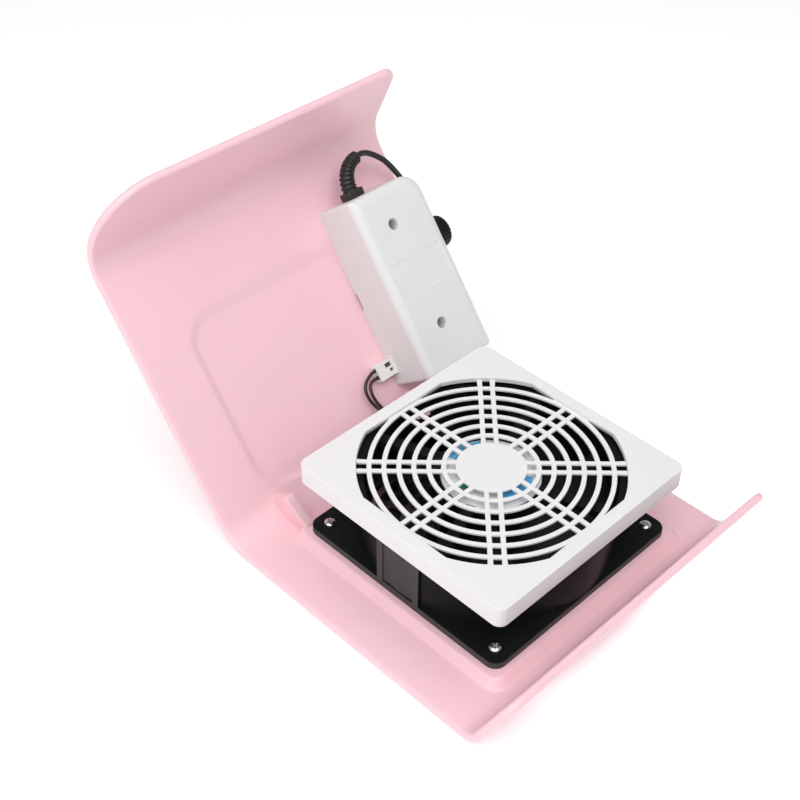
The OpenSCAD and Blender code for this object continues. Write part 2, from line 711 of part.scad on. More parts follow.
module mains_plug() color([0.08, 0.08, 0.08]) on_plug() {
    cylinder(r1 = 2.6, r2 = 4.2, h = 12, $fn = 32);
    difference() {
        union() {
            translate([-5.5, -8, 10]) linear_extrude(12) round_rect([11, 16], [4, 4, 4, 4]);
            translate([-6.8, -17.6, 21]) linear_extrude(plug_body - 21)
                round_rect([13.6, 35.2], [5, 5, 5, 5]);
        }
        for (y = [-1, 1]) translate([0, y * pin_pitch / 2, plug_body - 8]) cylinder(r = 2, h = 20, $fn = 32);
    }
}

module mains_pins() color([0.8, 0.8, 0.82]) on_plug()
    for (y = [-1, 1]) translate([0, y * pin_pitch / 2, plug_body - 8]) {
        cylinder(r = 2, h = 26, $fn = 32);
        translate([0, 0, 26]) cylinder(r1 = 2, r2 = 1.4, h = 1, $fn = 32);
    }

tie_w = 9;
tie_t = 0.6;

// Strap round the bundle, as wide inside as the coil's own curve needs
module cord_tie() color([0.1, 0.1, 0.1]) at_fan() {
    inner = -coil_w / 2 - 1.1;
    outer = coil_w / 2 + 0.1;
    top = coil_z + coil_h + 0.1;
    translate([coil_at[0] + coil_r, coil_at[1] - tie_w / 2, 0]) difference() {
        translate([inner - tie_t, 0, 0]) cube([outer - inner + 2 * tie_t, tie_w, top + tie_t]);
        translate([inner, -1, coil_z - 0.1]) cube([outer - inner, tie_w + 2, top - coil_z + 0.1]);
    }
}

shell();
fan_frame();
fan_impeller();
rotor_yoke();
rotor_magnet();
fan_shaft();
lower_bearing();
upper_bearing();
preload_spring();
shaft_clip();
stator_core();
stator_windings();
motor_board();
fan_label();
fan_screws();
filter_guard();
box_cover();
box_base();
box_screws();
control_board();
board_screws();
board_capacitor();
board_inductor();
board_rectifier();
board_transistor();
board_heatsink();
board_fuse();
speed_control();
control_shaft();
control_nut();
speed_knob();
fan_socket();
fan_plug();
plug_contacts();
fan_wire_upper();
fan_wire_lower();
strain_relief();
power_cord();
cord_coil();
cord_tail();
mains_plug();
mains_pins();
cord_tie();
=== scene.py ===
"""Looks for the nail dust collector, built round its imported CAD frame.

Piece geometry is worked out in millimetres in one of two frames, FAN (origin under the fan's axis, on the
resting surface) or REAR (x across, y up the rear panel's slope, z off its outside face), and both frames
bring it into the model's own frame in metres. The power cord's points are given in metres.
"""

import math

import bmesh
import bpy
from mathutils import Matrix, Vector
from mathutils.geometry import delaunay_2d_cdt


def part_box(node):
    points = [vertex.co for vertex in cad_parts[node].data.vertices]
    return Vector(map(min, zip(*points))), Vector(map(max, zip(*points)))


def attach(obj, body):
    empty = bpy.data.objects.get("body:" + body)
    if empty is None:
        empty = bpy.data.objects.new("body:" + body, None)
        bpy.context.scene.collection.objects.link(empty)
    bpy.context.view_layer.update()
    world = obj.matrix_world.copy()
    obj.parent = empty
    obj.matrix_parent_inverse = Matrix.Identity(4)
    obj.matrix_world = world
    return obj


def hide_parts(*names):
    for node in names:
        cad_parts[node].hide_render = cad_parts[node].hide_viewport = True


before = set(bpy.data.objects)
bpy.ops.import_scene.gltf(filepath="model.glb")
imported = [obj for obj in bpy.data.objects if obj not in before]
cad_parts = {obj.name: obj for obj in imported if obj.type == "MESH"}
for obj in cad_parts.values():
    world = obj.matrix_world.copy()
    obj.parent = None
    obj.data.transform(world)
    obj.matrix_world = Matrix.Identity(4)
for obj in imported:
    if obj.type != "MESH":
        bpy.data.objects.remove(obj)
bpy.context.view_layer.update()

# ---- sizes, in millimetres and degrees ----

MM = 0.001
WALL = 4.0
SHELL_X = (-90.0, 88.0)
FRONT_Y, BEND_Y = -74.6, 82.4
FRONT_LIP, REAR_LEN, REAR_LIP = 40.5, 150.2, 46.2
FRONT_TURN, REAR_ANGLE, REAR_TURN = 64.0, 52.9, 62.0
FRONT_R, BEND_R, REAR_R = 12.0, 25.0, 22.0
RIM = 1.7
PAD_DEPTH = 1.2
PLATFORM_Z = 8.0
INTAKE_R = 56.0
RIB_X, RIB_T = (-60.0, 54.4), 5.6
BIG_CIRCLE = 144  # points round the intake and the duct

FAN_HALF = 60.0
FAN_Z = (8.0, 46.0)
FLANGE = 4.0
HOLE_AT = 52.4
DUCT_R, DUCT_T = 58.0, 1.6
COVER_HALF = 13.0
HUB_R = 22.5
HUB_Z = (12.5, 40.0)
BLADES = 7
LABEL_Z, LABEL_R = 44.6, 23.2

GUARD_HALF = 62.4
GUARD_Z = (40.1, 51.0)
GUARD_T, GRID_T = 2.7, 1.2
GUARD_CORNER = 4.5
RING_OUTER, RING_STEP, RING_HALF = 55.55, 6.78, 1.15
RINGS = 6
DISC_R = 16.3
SPOKES = 8
SPOKE_GAP = 360 / SPOKES

BOX_X = (34.0, 79.0)
BOX_Y = (23.5, 120.5)
BOX_H = (2.8, 33.5)
BOX_SCREWS = ((54.2, 46.3), (52.4, 101.3))
KNOB_AT = (85.5, 18.5)
RELIEF_AT = (48.0, 18.0)

CORD_D = 0.003

fan_low, fan_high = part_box("fan_frame")
fan_axis = (fan_low + fan_high) / 2
fan_foot = Vector((fan_axis.x, fan_axis.y, 0))


def cos(degrees):
    return math.cos(math.radians(degrees))


def sin(degrees):
    return math.sin(math.radians(degrees))


def polar(r, a):
    return r * cos(a), r * sin(a)


def mix(a, b, t):
    return a + (b - a) * t


def smooth_step(t):
    t = min(1.0, max(0.0, t))
    return t * t * (3 - 2 * t)


def spin(degrees, axis):
    return Matrix.Rotation(math.radians(degrees), 4, axis)


def shift(x, y, z):
    return Matrix.Translation((x, y, z))


FAN = shift(*fan_foot) @ Matrix.Scale(MM, 4)
TO_REAR = shift(0, BEND_Y, 0) @ spin(REAR_ANGLE, "X")
REAR = FAN @ TO_REAR


def placed(name, data):
    """New object with the given data, in the scene."""
    made = bpy.data.objects.new(name, data)
    bpy.context.scene.collection.objects.link(made)
    return made


# ---- camera, at the photograph's viewing angle ----

def make_camera():
    data = bpy.data.cameras.new("camera")
    data.lens = 62.5
    data.sensor_width = 36.0
    data.clip_start, data.clip_end = 0.02, 50
    camera = placed("camera", data)
    azimuth, elevation, roll = -45.012, 40.49, 0.484
    aim = spin(azimuth, "Z") @ spin(90 - elevation, "X") @ spin(roll, "Z")
    camera.matrix_world = shift(-0.35335, -0.33381, 0.48086) @ aim
    bpy.context.scene.camera = camera


make_camera()

# ---- materials ----


class Look:
    """A node-built material round one Principled shader."""

    def __init__(self, name, **sockets):
        self.made = bpy.data.materials.new(name)
        self.made.use_nodes = True
        self.tree = self.made.node_tree
        self.shader = self.tree.nodes["Principled BSDF"]
        self.place = self.node("ShaderNodeTexCoord").outputs["Object"]
        for socket, value in sockets.items():
            self.shader.inputs[socket.replace("_", " ")].default_value = value

    def node(self, kind, inputs=None, **settings):
        made = self.tree.nodes.new(kind)
        for key, value in settings.items():
            setattr(made, key, value)
        for key, value in (inputs or {}).items():
            if isinstance(value, bpy.types.NodeSocket):
                self.tree.links.new(value, made.inputs[key])
            else:
                made.inputs[key].default_value = value
        return made

    def noise(self, scale, detail=3.0, stretch=(1, 1, 1), rough=0.55):
        at = self.node("ShaderNodeMapping", {"Vector": self.place, "Scale": stretch}).outputs["Vector"]
        return self.node("ShaderNodeTexNoise", {
            "Vector": at, "Scale": scale, "Detail": detail, "Roughness": rough}).outputs["Fac"]

    def ramp(self, fac, stops):
        made = self.node("ShaderNodeValToRGB", {"Fac": fac})
        ends = made.color_ramp.elements
        while len(ends) < len(stops):
            ends.new(0.5)
        for element, (at, colour) in zip(ends, stops):
            element.position = at
            element.color = (*colour, 1)
        return made.outputs["Color"]

    def spread(self, fac, low, high, start=0.0, end=1.0):
        """The values from start to end spread out from low to high."""
        inputs = {"Value": fac, "From Min": start, "From Max": end, "To Min": low, "To Max": high}
        return self.node("ShaderNodeMapRange", inputs).outputs["Result"]

    def bump(self, fac, strength, depth, under=None):
        inputs = {"Height": fac, "Strength": strength, "Distance": depth}
        if under:
            inputs["Normal"] = under
        return self.node("ShaderNodeBump", inputs).outputs["Normal"]

    def to(self, socket, value):
        self.tree.links.new(value, self.shader.inputs[socket])


def stained(look, fac, colour, tint, at=(0.3, 0.7)):
    """Colours the look a little darker and lighter than its colour."""
    shades = [tuple(min(1.0, c * by) for c in colour) for by in (1 - tint, 1 + tint)]
    look.to("Base Color", look.ramp(fac, list(zip(at, shades))))


def moulded(name, colour, rough, tint=0.03, cloud=45, grain=2600, depth=0.00002, **sockets):
    """Moulded plastic: faint clouding in its colour and sheen, and a fine grain."""
    look = Look(name, **sockets)
    clouds = look.noise(cloud, 4)
    fine = look.noise(grain, 3)
    stained(look, clouds, colour, tint)
    look.to("Roughness", look.spread(clouds, rough * 0.88, rough * 1.12))
    look.to("Normal", look.bump(fine, 0.25, depth, look.bump(clouds, 0.15, depth * 6)))
    return look.made


def metal(name, colour, rough, stretch=(1, 1, 1), grain=3000, tint=0.06, depth=0.00001):
    """Metal with fine drawn or ground lines along the axis with the small stretch."""
    look = Look(name, Metallic=1.0)
    lines = look.noise(grain, 2, stretch)
    stains = look.noise(160, 4)
    stained(look, stains, colour, tint, (0.3, 0.75))
    look.to("Roughness", look.spread(lines, rough * 0.7, rough * 1.3))
    look.to("Normal", look.bump(lines, 0.3, depth))
    return look.made


def banded(name, colours, pitch, rough, direction="Z", metallic=0.0, depth=0.00008):
    """Stacked or wound material: parallel lines at a pitch in millimetres."""
    look = Look(name, Metallic=metallic)
    waves = look.node("ShaderNodeTexWave", {
        "Vector": look.place, "Scale": 0.5 / (pitch * MM) * 0.1 * math.pi, "Distortion": 0.3, "Detail": 1.0,
    }, bands_direction=direction).outputs["Fac"]
    look.to("Base Color", look.ramp(waves, [(0.2, colours[0]), (0.8, colours[1])]))
    look.to("Roughness", look.spread(look.noise(700), rough * 0.85, rough * 1.15))
    look.to("Normal", look.bump(waves, 0.8, depth))
    return look.made


def circuit_board(name):
    """Green solder mask over copper tracks."""
    look = Look(name)
    tracks = look.node("ShaderNodeTexVoronoi", {"Vector": look.place, "Scale": 260.0},
                       feature="DISTANCE_TO_EDGE")
    near = look.spread(tracks.outputs["Distance"], 0.0, 1.0)
    look.to("Base Color", look.ramp(near, [(0.03, (0.09, 0.30, 0.12)), (0.09, (0.035, 0.16, 0.07))]))
    look.to("Roughness", look.spread(look.noise(900), 0.32, 0.45))
    look.to("Normal", look.bump(near, 0.3, 0.00004))
    return look.made


PINK = (0.895, 0.575, 0.632)
LOOKS = {
    "pink": moulded("pink_abs", PINK, 0.34, tint=0.015, cloud=18, Coat_Weight=0.12, Coat_Roughness=0.22),
    # painted shade: dark pink for the intake bars' tops and sides, standing in for the fan's shadow over them
    "intake_painted_shade": moulded("pink_painted_shade", (0.20, 0.125, 0.138), 0.6, tint=0.1),
    "fan_black": moulded("fan_black", (0.010, 0.0108, 0.0108), 0.34, tint=0.2, Specular_IOR_Level=0.07,
                         Specular_Tint=(0.75, 1.0, 0.96, 1)),
    # fan_edge: a duller finish, and a lighter grey that is painted light on the frame's sides
    "fan_edge": moulded("fan_edge", (0.044, 0.046, 0.044), 0.5, tint=0.12, grain=1800,
                        Specular_IOR_Level=0.25),
    "blade_black": moulded("blade_black", (0.014, 0.014, 0.016), 0.45, tint=0.2, Specular_IOR_Level=0.1),
    "guard": moulded("guard_white", (0.785, 0.785, 0.79), 0.36, tint=0.012, cloud=30),
    "box": moulded("box_white", (0.72, 0.729, 0.725), 0.40, tint=0.014, cloud=40, depth=0.00003),
    "base": moulded("base_grey", (0.66, 0.66, 0.66), 0.45),
    "knob": moulded("knob_black", (0.008, 0.008, 0.009), 0.36, tint=0.2, Specular_IOR_Level=0.2),
    "rubber": moulded("boot_rubber", (0.014, 0.014, 0.015), 0.46, tint=0.25, grain=3000, depth=0.00004),
    "cord": moulded("cord_pvc", (0.013, 0.013, 0.014), 0.40, tint=0.25, grain=1800, depth=0.00005),
    "plug": moulded("plug_black", (0.015, 0.015, 0.016), 0.45, tint=0.2, grain=2200, depth=0.00006),
    "tie": moulded("tie_black", (0.02, 0.02, 0.02), 0.7, tint=0.3, grain=1500, depth=0.0001),
    "connector": moulded("connector_nylon", (0.82, 0.81, 0.78), 0.42, cloud=120),
    "socket": moulded("socket_nylon", (0.80, 0.79, 0.75), 0.46, cloud=120),
    "lead_upper": moulded("lead_dark", (0.028, 0.014, 0.014), 0.38, tint=0.3, grain=1600),
    "lead_lower": moulded("lead_red", (0.05, 0.013, 0.014), 0.38, tint=0.3, grain=1600),
    "magnet": moulded("ferrite_magnet", (0.05, 0.048, 0.048), 0.7, tint=0.25, grain=1200, depth=0.00008),
    "black_part": moulded("epoxy_black", (0.02, 0.02, 0.021), 0.55, tint=0.2, grain=1900, depth=0.00005),
    "sleeve": moulded("capacitor_sleeve", (0.03, 0.05, 0.16), 0.3, tint=0.12),
    "tape": moulded("inductor_tape", (0.62, 0.44, 0.08), 0.35, tint=0.12, cloud=200),
    "control": moulded("control_body", (0.12, 0.15, 0.19), 0.5, tint=0.12, grain=1400),
    "glass": moulded("fuse_glass", (0.72, 0.74, 0.72), 0.12, tint=0.1, Coat_Weight=0.6),
    "zinc": metal("zinc_plate", (0.60, 0.61, 0.63), 0.35, grain=1500, tint=0.12),
    "steel": metal("ground_steel", (0.62, 0.63, 0.65), 0.25, stretch=(1, 1, 0.08)),
    "chrome": metal("screw_chrome", (0.66, 0.66, 0.67), 0.28, tint=0.1),
    "nickel": metal("nickel_plate", (0.66, 0.63, 0.57), 0.24, stretch=(0.08, 1, 1)),
    "brass": metal("tinned_brass", (0.14, 0.115, 0.08), 0.5),
    "aluminium": metal("extruded_aluminium", (0.66, 0.67, 0.69), 0.34, stretch=(1, 0.05, 0.05)),
    "copper": banded("copper_wire", ((0.33, 0.12, 0.04), (0.78, 0.36, 0.16)), 0.4, 0.3, "Z", 1.0),
    "laminations": banded("steel_laminations", ((0.16, 0.16, 0.17), (0.46, 0.47, 0.49)), 0.5, 0.45, "Z", 1.0),
    "board": circuit_board("solder_mask"),
    "paper": moulded("label_paper", (0.93, 0.94, 0.94), 0.45, tint=0.02, cloud=300, grain=4000),
    "ink_blue": moulded("label_blue", (0.10, 0.50, 0.88), 0.45, tint=0.2, cloud=260),
    "ink_green": moulded("label_green", (0.03, 0.26, 0.17), 0.45, tint=0.05, cloud=300),
    "ink_grey": moulded("label_grey", (0.62, 0.63, 0.65), 0.45, tint=0.05, cloud=300),
}

# ---- mesh helpers: a part is (points, faces) or (points, faces, material index) ----


def circle(r, count=72, at=(0, 0)):
    return [(at[0] + x, at[1] + y) for x, y in (polar(r, 360 * k / count) for k in range(count))]


def rounded(x, y, radii, steps=6):
    """Rectangle outline with its own corner radii: lower left, lower right, upper right, upper left."""
    corners = ((x[0], y[0], 1, 1), (x[1], y[0], -1, 1), (x[1], y[1], -1, -1), (x[0], y[1], 1, -1))
    made = []
    for turn, ((cx, cy, sx, sy), r) in enumerate(zip(corners, radii)):
        for k in range(steps + 1):
            a = 180 + 90 * turn + 90 * k / steps
            made.append((cx + sx * r + r * cos(a), cy + sy * r + r * sin(a)))
    return made


def rounded_square(half, r, steps=6):
    return rounded((-half, half), (-half, half), (r, r, r, r), steps)


def raised(loop, z):
    return [(x, y, z) for x, y in loop]


def four(at):
    """The four places at the corners of a square."""
    return [(x, y) for x in (-at, at) for y in (-at, at)]


def wound(loop, left):
    """The loop, turned round if it has to be, so that it runs anticlockwise if left is true."""
    area = sum(a[0] * b[1] - b[0] * a[1] for a, b in zip(loop, loop[1:] + loop[:1]))
    return loop if (area > 0) == left else loop[::-1]


def moved_left(loop, by):
    """The closed loop shifted to its own left, with mitred corners."""
    made = []
    for before, here, after in zip(loop[-1:] + loop[:-1], loop, loop[1:] + loop[:1]):
        a = (Vector(here) - Vector(before)).normalized()
        b = (Vector(after) - Vector(here)).normalized()
        across = Vector((-a.y - b.y, a.x + b.x)).normalized()
        reach = by / max(0.5, across.dot(Vector((-a.y, a.x))))
        made.append((here[0] + across.x * reach, here[1] + across.y * reach))
    return made


def inside(point, loop):
    """True if the point lies inside the closed loop."""
    found = False
    for a, b in zip(loop, loop[1:] + loop[:1]):
        if (a[1] > point[1]) != (b[1] > point[1]):
            if point[0] < a[0] + (b[0] - a[0]) * (point[1] - a[1]) / (b[1] - a[1]):
                found = not found
    return found


def filled(loops):
    """Triangles between the first loop and the others, as numbers into the loops' points end to end."""
    points = [Vector(p[:2]) for loop in loops for p in loop]
    edges, base = [], 0
    for loop in loops:
        edges += [(base + k, base + (k + 1) % len(loop)) for k in range(len(loop))]
        base += len(loop)
    found = delaunay_2d_cdt(points, edges, [], 1, 1e-6)
    source = [ids[0] for ids in found[3]]
    holes = [(loop, *(f(p[axis] for p in loop) for axis in (0, 1) for f in (min, max))) for loop in loops[1:]]
    kept = []
    for face in found[2]:
        mid = sum((found[0][i] for i in face), Vector((0, 0))) / len(face)
        near = [loop for loop, x0, x1, y0, y1 in holes if x0 < mid.x < x1 and y0 < mid.y < y1]
        if not any(inside(mid, loop) for loop in near):
            kept.append([source[i] for i in face])
    return kept


def joined_rings(count, rings, base=0, closed=True, around=False):
    """Quads between rings of count points each; around also joins the last ring to the first."""
    faces = []
    pairs = [(i, i + 1) for i in range(rings - 1)] + ([(rings - 1, 0)] if around else [])
    for i, j in pairs:
        a, b = base + i * count, base + j * count
        steps = [(k, (k + 1) % count) for k in range(count if closed else count - 1)]
        faces += [(a + k, a + n, b + n, b + k) for k, n in steps]
    return faces


def between(a, b):
    """Quads between two closed rings of point numbers."""
    count = len(a)
    return [(a[k], a[(k + 1) % count], b[(k + 1) % count], b[k]) for k in range(count)]


def loft(rings, caps=(True, True), around=False):
    """Skin over closed rings of as many points each, with its two ends filled."""
    count = len(rings[0])
    faces = joined_rings(count, len(rings), around=around)
    if not around:
        if caps[0]:
            faces.append(tuple(range(count))[::-1])
        if caps[1]:
            faces.append(tuple(range((len(rings) - 1) * count, len(rings) * count)))
    return [p for ring in rings for p in ring], faces


def edge_steps(z0, z1, edge):
    """(inset, height) from the top to the bottom of a plate whose edges are rounded."""
    part = 0.29 * edge
    return [(edge, z1), (part, z1 - part), (0, z1 - edge), (0, z0 + edge), (part, z0 + part), (edge, z0)]


def walled(columns, dishes=()):
    """Walls from columns of rings, filled between the first rings and the last; a dish has a floor."""
    points, faces, tops, bottoms = [], [], [], []
    for number, rings in enumerate([*columns, *dishes]):
        base, count = len(points), len(rings[0])
        last = base + (len(rings) - 1) * count
        faces += joined_rings(count, len(rings), base)
        tops.append((rings[0], base))
        if number < len(columns):
            bottoms.append((rings[-1], last))
        else:
            faces.append(tuple(last + k for k in range(count)))
        points += [p for ring in rings for p in ring]
    for caps in (tops, bottoms):
        places = [base + k for ring, base in caps for k in range(len(ring))]
        faces += [tuple(places[i] for i in face) for face in filled([ring for ring, _ in caps])]
    return points, faces


def slab(outer, holes, z0, z1, edge, outer_rings=None):
    """Plate with holes and rounded edges; outer_rings replaces the outer wall's own rings, top to bottom."""
    columns = []
    for number, loop in enumerate([outer, *holes]):
        loop = wound(list(loop), number == 0)
        columns.append([raised(moved_left(loop, by), z) for by, z in edge_steps(z0, z1, edge)])
    if outer_rings:
        columns[0] = outer_rings
    return walled(columns)


def lathe(profile, count=48, around=False, at=(0, 0)):
    """Turned part from (radius, height) points; around closes the profile into a ring."""
    return loft([raised(circle(r, count, at), z) for r, z in profile], around=around)


def turned(part, matrix):
    points, faces, *rest = part
    return ([tuple(matrix @ Vector(p)) for p in points], faces, *rest)


ALONG_X = Matrix(((0, 0, 1, 0), (1, 0, 0, 0), (0, 1, 0, 0), (0, 0, 0, 1)))


def curve_through(points, steps):
    """Points of a smooth curve that passes through all the given ones."""
    points = [Vector(p) for p in points]
    last = len(points) - 1
    made = []
    for i in range(last):
        a, b = points[max(i - 1, 0)], points[i]
        c, d = points[i + 1], points[min(i + 2, last)]
        for k in range(steps):
            t = k / steps
            made.append(0.5 * (2 * b + (c - a) * t + (2 * a - 5 * b + 4 * c - d) * t * t
                               + (3 * b - a - 3 * c + d) * t ** 3))
    return made + [points[last]]


def swept(path, radii, sides=20, shape=None):
    """Tube along a path, one radius per point; shape gives (angle, ring number) -> share of the radius."""
    path = [Vector(p) for p in path]
    across = None
    rings = []
    for i, here in enumerate(path):
        ahead = (path[min(i + 1, len(path) - 1)] - path[max(i - 1, 0)]).normalized()
        if across is None:
            across = ahead.orthogonal().normalized()
        across = (across - ahead * across.dot(ahead)).normalized()
        up = ahead.cross(across)
        ring = []
        for k in range(sides):
            a = 360 * k / sides
            r = radii[i] * (shape(a, i) if shape else 1)
            ring.append(tuple(here + r * (cos(a) * across + sin(a) * up)))
        rings.append(ring)
    return loft(rings)


def block(x, y, z, edge, radius=None):
    """Box with rounded edges."""
    r = 1.6 * edge if radius is None else radius
    return slab(rounded(x, y, (r, r, r, r), 4), [], z[0], z[1], edge)


def solid_mesh(name, points, faces, numbers=()):
    """Mesh with its faces turned outwards; numbers gives each face's material."""
    mesh = bpy.data.meshes.new(name)
    mesh.from_pydata(points, [], faces)
    if numbers:
        mesh.polygons.foreach_set("material_index", numbers)
    work = bmesh.new()
    work.from_mesh(mesh)
    bmesh.ops.recalc_face_normals(work, faces=work.faces)
    work.to_mesh(mesh)
    work.free()
    return mesh


def smoothed(mesh, sharp_over):
    mesh.shade_smooth()
    mesh.set_sharp_from_angle(angle=math.radians(sharp_over))


def even_flats(made):
    """Keeps flat faces evenly shaded beside rounded edges."""
    made.modifiers.new("flat_faces", "WEIGHTED_NORMAL").keep_sharp = True


def carried(made, replaces, body="housing"):
    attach(made, body)
    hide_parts(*replaces)


def piece(name, parts, looks, replaces, place=FAN, body="housing", sharp_over=38, flats=False):
    """Makes one named piece from its parts and puts it on its body. Looks are keys of LOOKS."""
    points, faces, numbers = [], [], []
    for part in parts:
        base = len(points)
        points += [tuple(place @ Vector(p)) for p in part[0]]
        faces += [tuple(base + i for i in face) for face in part[1]]
        numbers += [part[2] if len(part) > 2 else 0] * len(part[1])
    mesh = solid_mesh(name, points, faces, numbers)
    smoothed(mesh, sharp_over)
    made = placed(name, mesh)
    for look in looks:
        mesh.materials.append(LOOKS[look])
    if flats:
        even_flats(made)
    carried(made, replaces, body)
    return made


def ink(made, choose):
    """Picks each face's material: choose gets the face and its middle in the fan's frame."""
    to_fan = FAN.inverted()
    for face in made.data.polygons:
        face.material_index = choose(face, to_fan @ face.center)


# ---- power cord: 1.2 m from the strain relief to the plug, with the unseen length coiled ----

CORD_ROUTE = (
    (0.0598, 0.1515, 0.1212), (0.0638, 0.1520, 0.1213), (0.0680, 0.1519, 0.1199), (0.0725, 0.1507, 0.1171),
    (0.0775, 0.1489, 0.1127), (0.0820, 0.1465, 0.1063), (0.0860, 0.1443, 0.0993), (0.0895, 0.1428, 0.0923),
    (0.0914, 0.1429, 0.0855), (0.0916, 0.1438, 0.0770), (0.0910, 0.1452, 0.0670), (0.0890, 0.1472, 0.0560),
    (0.0855, 0.1496, 0.0450), (0.0810, 0.1522, 0.0345), (0.0750, 0.1546, 0.0255), (0.0680, 0.1566, 0.0185),
    (0.0600, 0.1580, 0.0140), (0.0520, 0.1585, 0.0120), (0.0440, 0.1586, 0.0116),
)
TAIL_ROUTE = (
    (0.0234, 0.1380, 0.0025), (0.0234, 0.1310, 0.0024), (0.0220, 0.1245, 0.0027), (0.0182, 0.1190, 0.0036),
    (0.0128, 0.1153, 0.0050), (0.0070, 0.1134, 0.0063), (0.0010, 0.1130, 0.0070), (-0.0040, 0.1130, 0.0070),
)
COIL_AT = (0.0440, 0.1380)
COIL_R = (0.01395, 0.02055)
COIL_Z = (0.0116, 0.0024)
COIL_LAYERS = 4
COIL_TURNS = 9.25
CLIMB = 60.0


def coil_points():
    """Turns of the coil, layer on layer from the top down, wound in and out by turns."""
    run = (360 * COIL_TURNS - CLIMB * (COIL_LAYERS - 1)) / COIL_LAYERS
    drop = (COIL_Z[0] - COIL_Z[1]) / (COIL_LAYERS - 1)
    made, angle = [], 90.0
    for layer in range(COIL_LAYERS):
        inward = layer % 2 == 0
        radii = COIL_R[::-1] if inward else COIL_R
        height = COIL_Z[0] - layer * drop
        legs = [(run, radii[0], radii[1], height, height)]
        if layer < COIL_LAYERS - 1:
            legs.append((CLIMB, radii[1], radii[1], height, height - drop))
        for turn, r0, r1, z0, z1 in legs:
            steps = int(turn / 7.5)
            for k in range(steps):
                t = k / steps
                r, z = mix(r0, r1, t), mix(z0, z1, smooth_step(t))
                x, y = polar(r, angle + turn * t)
                made.append(Vector((COIL_AT[0] + x, COIL_AT[1] + y, z)))
            angle += turn
    return made


def make_cord():
    line = curve_through(CORD_ROUTE, 4)[:-1] + coil_points() + curve_through(TAIL_ROUTE, 4)
    data = bpy.data.curves.new("power_cord_line", "CURVE")
    data.dimensions = "3D"
    spline = data.splines.new("POLY")
    spline.points.add(len(line) - 1)
    for point, at in zip(spline.points, line):
        point.co = (*(at + fan_foot), 1)
    data.bevel_depth = CORD_D / 2
    data.bevel_resolution = 5
    data.use_fill_caps = True
    spline.use_smooth = True
    made = placed("power_cord_line", data)
    data.materials.append(LOOKS["cord"])
    carried(made, ["power_cord", "cord_coil", "cord_tail"])
    return made, tuple(line[0] + fan_foot)


def band(u, v, r, along, thick):
    """Closed strap round a u by v opening, as wide as along gives, in its own x, y, z."""
    inner = rounded(u, v, (r,) * 4, 5)
    outer = moved_left(wound(inner, True), -thick)
    inner_edge, outer_edge = moved_left(inner, -0.2), moved_left(outer, 0.2)
    low, high = along
    steps = ((inner, low + 0.3), (inner, high - 0.3), (inner_edge, high), (outer_edge, high),
             (outer, high - 0.3), (outer, low + 0.3), (outer_edge, low), (inner_edge, low))
    return loft([raised(loop, at) for loop, at in steps], around=True)


def make_plug():
    """Mains plug body: a ribbed grip that widens into a flat-sided head."""
    back, sections = 34.0, []
    shape = ((0, 2.6, 2.6, 1), (1.5, 3.1, 3.1, 1), (5, 3.3, 3.5, 1), (9.5, 4.2, 4.8, 0.9),
             (10.6, 5.0, 6.6, 0.7), (12.5, 5.5, 8.0, 0.55), (19, 5.5, 8.4, 0.5), (21.3, 6.0, 12.6, 0.5),
             (22.8, 6.6, 16.6, 0.5), (25, 6.8, 17.6, 0.48), (31.5, 6.8, 17.6, 0.48),
             (33.3, 6.5, 17.3, 0.48), (back, 5.6, 16.4, 0.48))
    for at, half_x, half_y, power in shape:
        ring = []
        for k in range(64):
            c, s = cos(360 * k / 64), sin(360 * k / 64)
            x, y = math.copysign(abs(c) ** power, c), math.copysign(abs(s) ** power, s)
            ring.append((half_x * x, half_y * y, at))
        sections.append(ring)
    ribs = [band((-5.45, 5.45), (-8.3, 8.3), 4.2, (at, at + 1.1), 0.35) for at in (13.2, 15.2, 17.2)]
    place = FAN @ shift(*Vector(TAIL_ROUTE[-1]) / MM) @ spin(-90, "Y")
    return piece("mains_plug_body", [loft(sections), *ribs], ["plug"], ["mains_plug"], place,
                 sharp_over=50)


def make_tie():
    wide, coil_mid = 9.0, sum(COIL_R) / 2 / MM
    place = FAN @ shift(COIL_AT[0] / MM + coil_mid, COIL_AT[1] / MM - wide / 2, 0) @ Matrix(
        ((1, 0, 0, 0), (0, 0, 1, 0), (0, 1, 0, 0), (0, 0, 0, 1)))
    strap = band((-5.9, 4.9), (0.65, 13.15), 1.0, (0, wide), 0.5)
    return piece("cord_tie_strap", [strap], ["tie"], ["cord_tie"], place)


cord, cord_exit = make_cord()
plug = make_plug()
tie = make_tie()
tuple(cord_exit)

# ---- shell: one bent sheet, seen as distance across and distance along its section ----

def tangent(r, turn):
    """How much of a straight line a bend takes up on each side of its corner."""
    return r * math.tan(math.radians(turn / 2))


FRONT_TAN = tangent(FRONT_R, FRONT_TURN)
BEND_TAN = tangent(BEND_R, REAR_ANGLE)
REAR_TAN = tangent(REAR_R, REAR_TURN)
LINES = (
    ("line", FRONT_LIP - FRONT_TAN),
    ("arc", FRONT_R, FRONT_TURN),
    ("line", BEND_Y - FRONT_Y - FRONT_TAN - BEND_TAN),
    ("arc", BEND_R, REAR_ANGLE),
    ("line", REAR_LEN - BEND_TAN - REAR_TAN),
    ("arc", REAR_R, REAR_TURN),
    ("line", REAR_LIP - REAR_TAN),
)


def section_pieces():
    """Each stretch of the shell's outer line: its start along it, start point, heading and radius."""
    y, z = FRONT_Y - FRONT_LIP * cos(FRONT_TURN), FRONT_LIP * sin(FRONT_TURN)
    heading, along, made = -FRONT_TURN, 0.0, []
    for kind, *size in LINES:
        if kind == "line":
            made.append((along, y, z, heading, None))
            y, z = y + size[0] * cos(heading), z + size[0] * sin(heading)
            along += size[0]
        else:
            r, turn = size
            made.append((along, y, z, heading, r))
            cy, cz = y - r * sin(heading), z + r * cos(heading)
            heading += turn
            y, z = cy + r * sin(heading), cz - r * cos(heading)
            along += r * math.radians(turn)
    return made, along


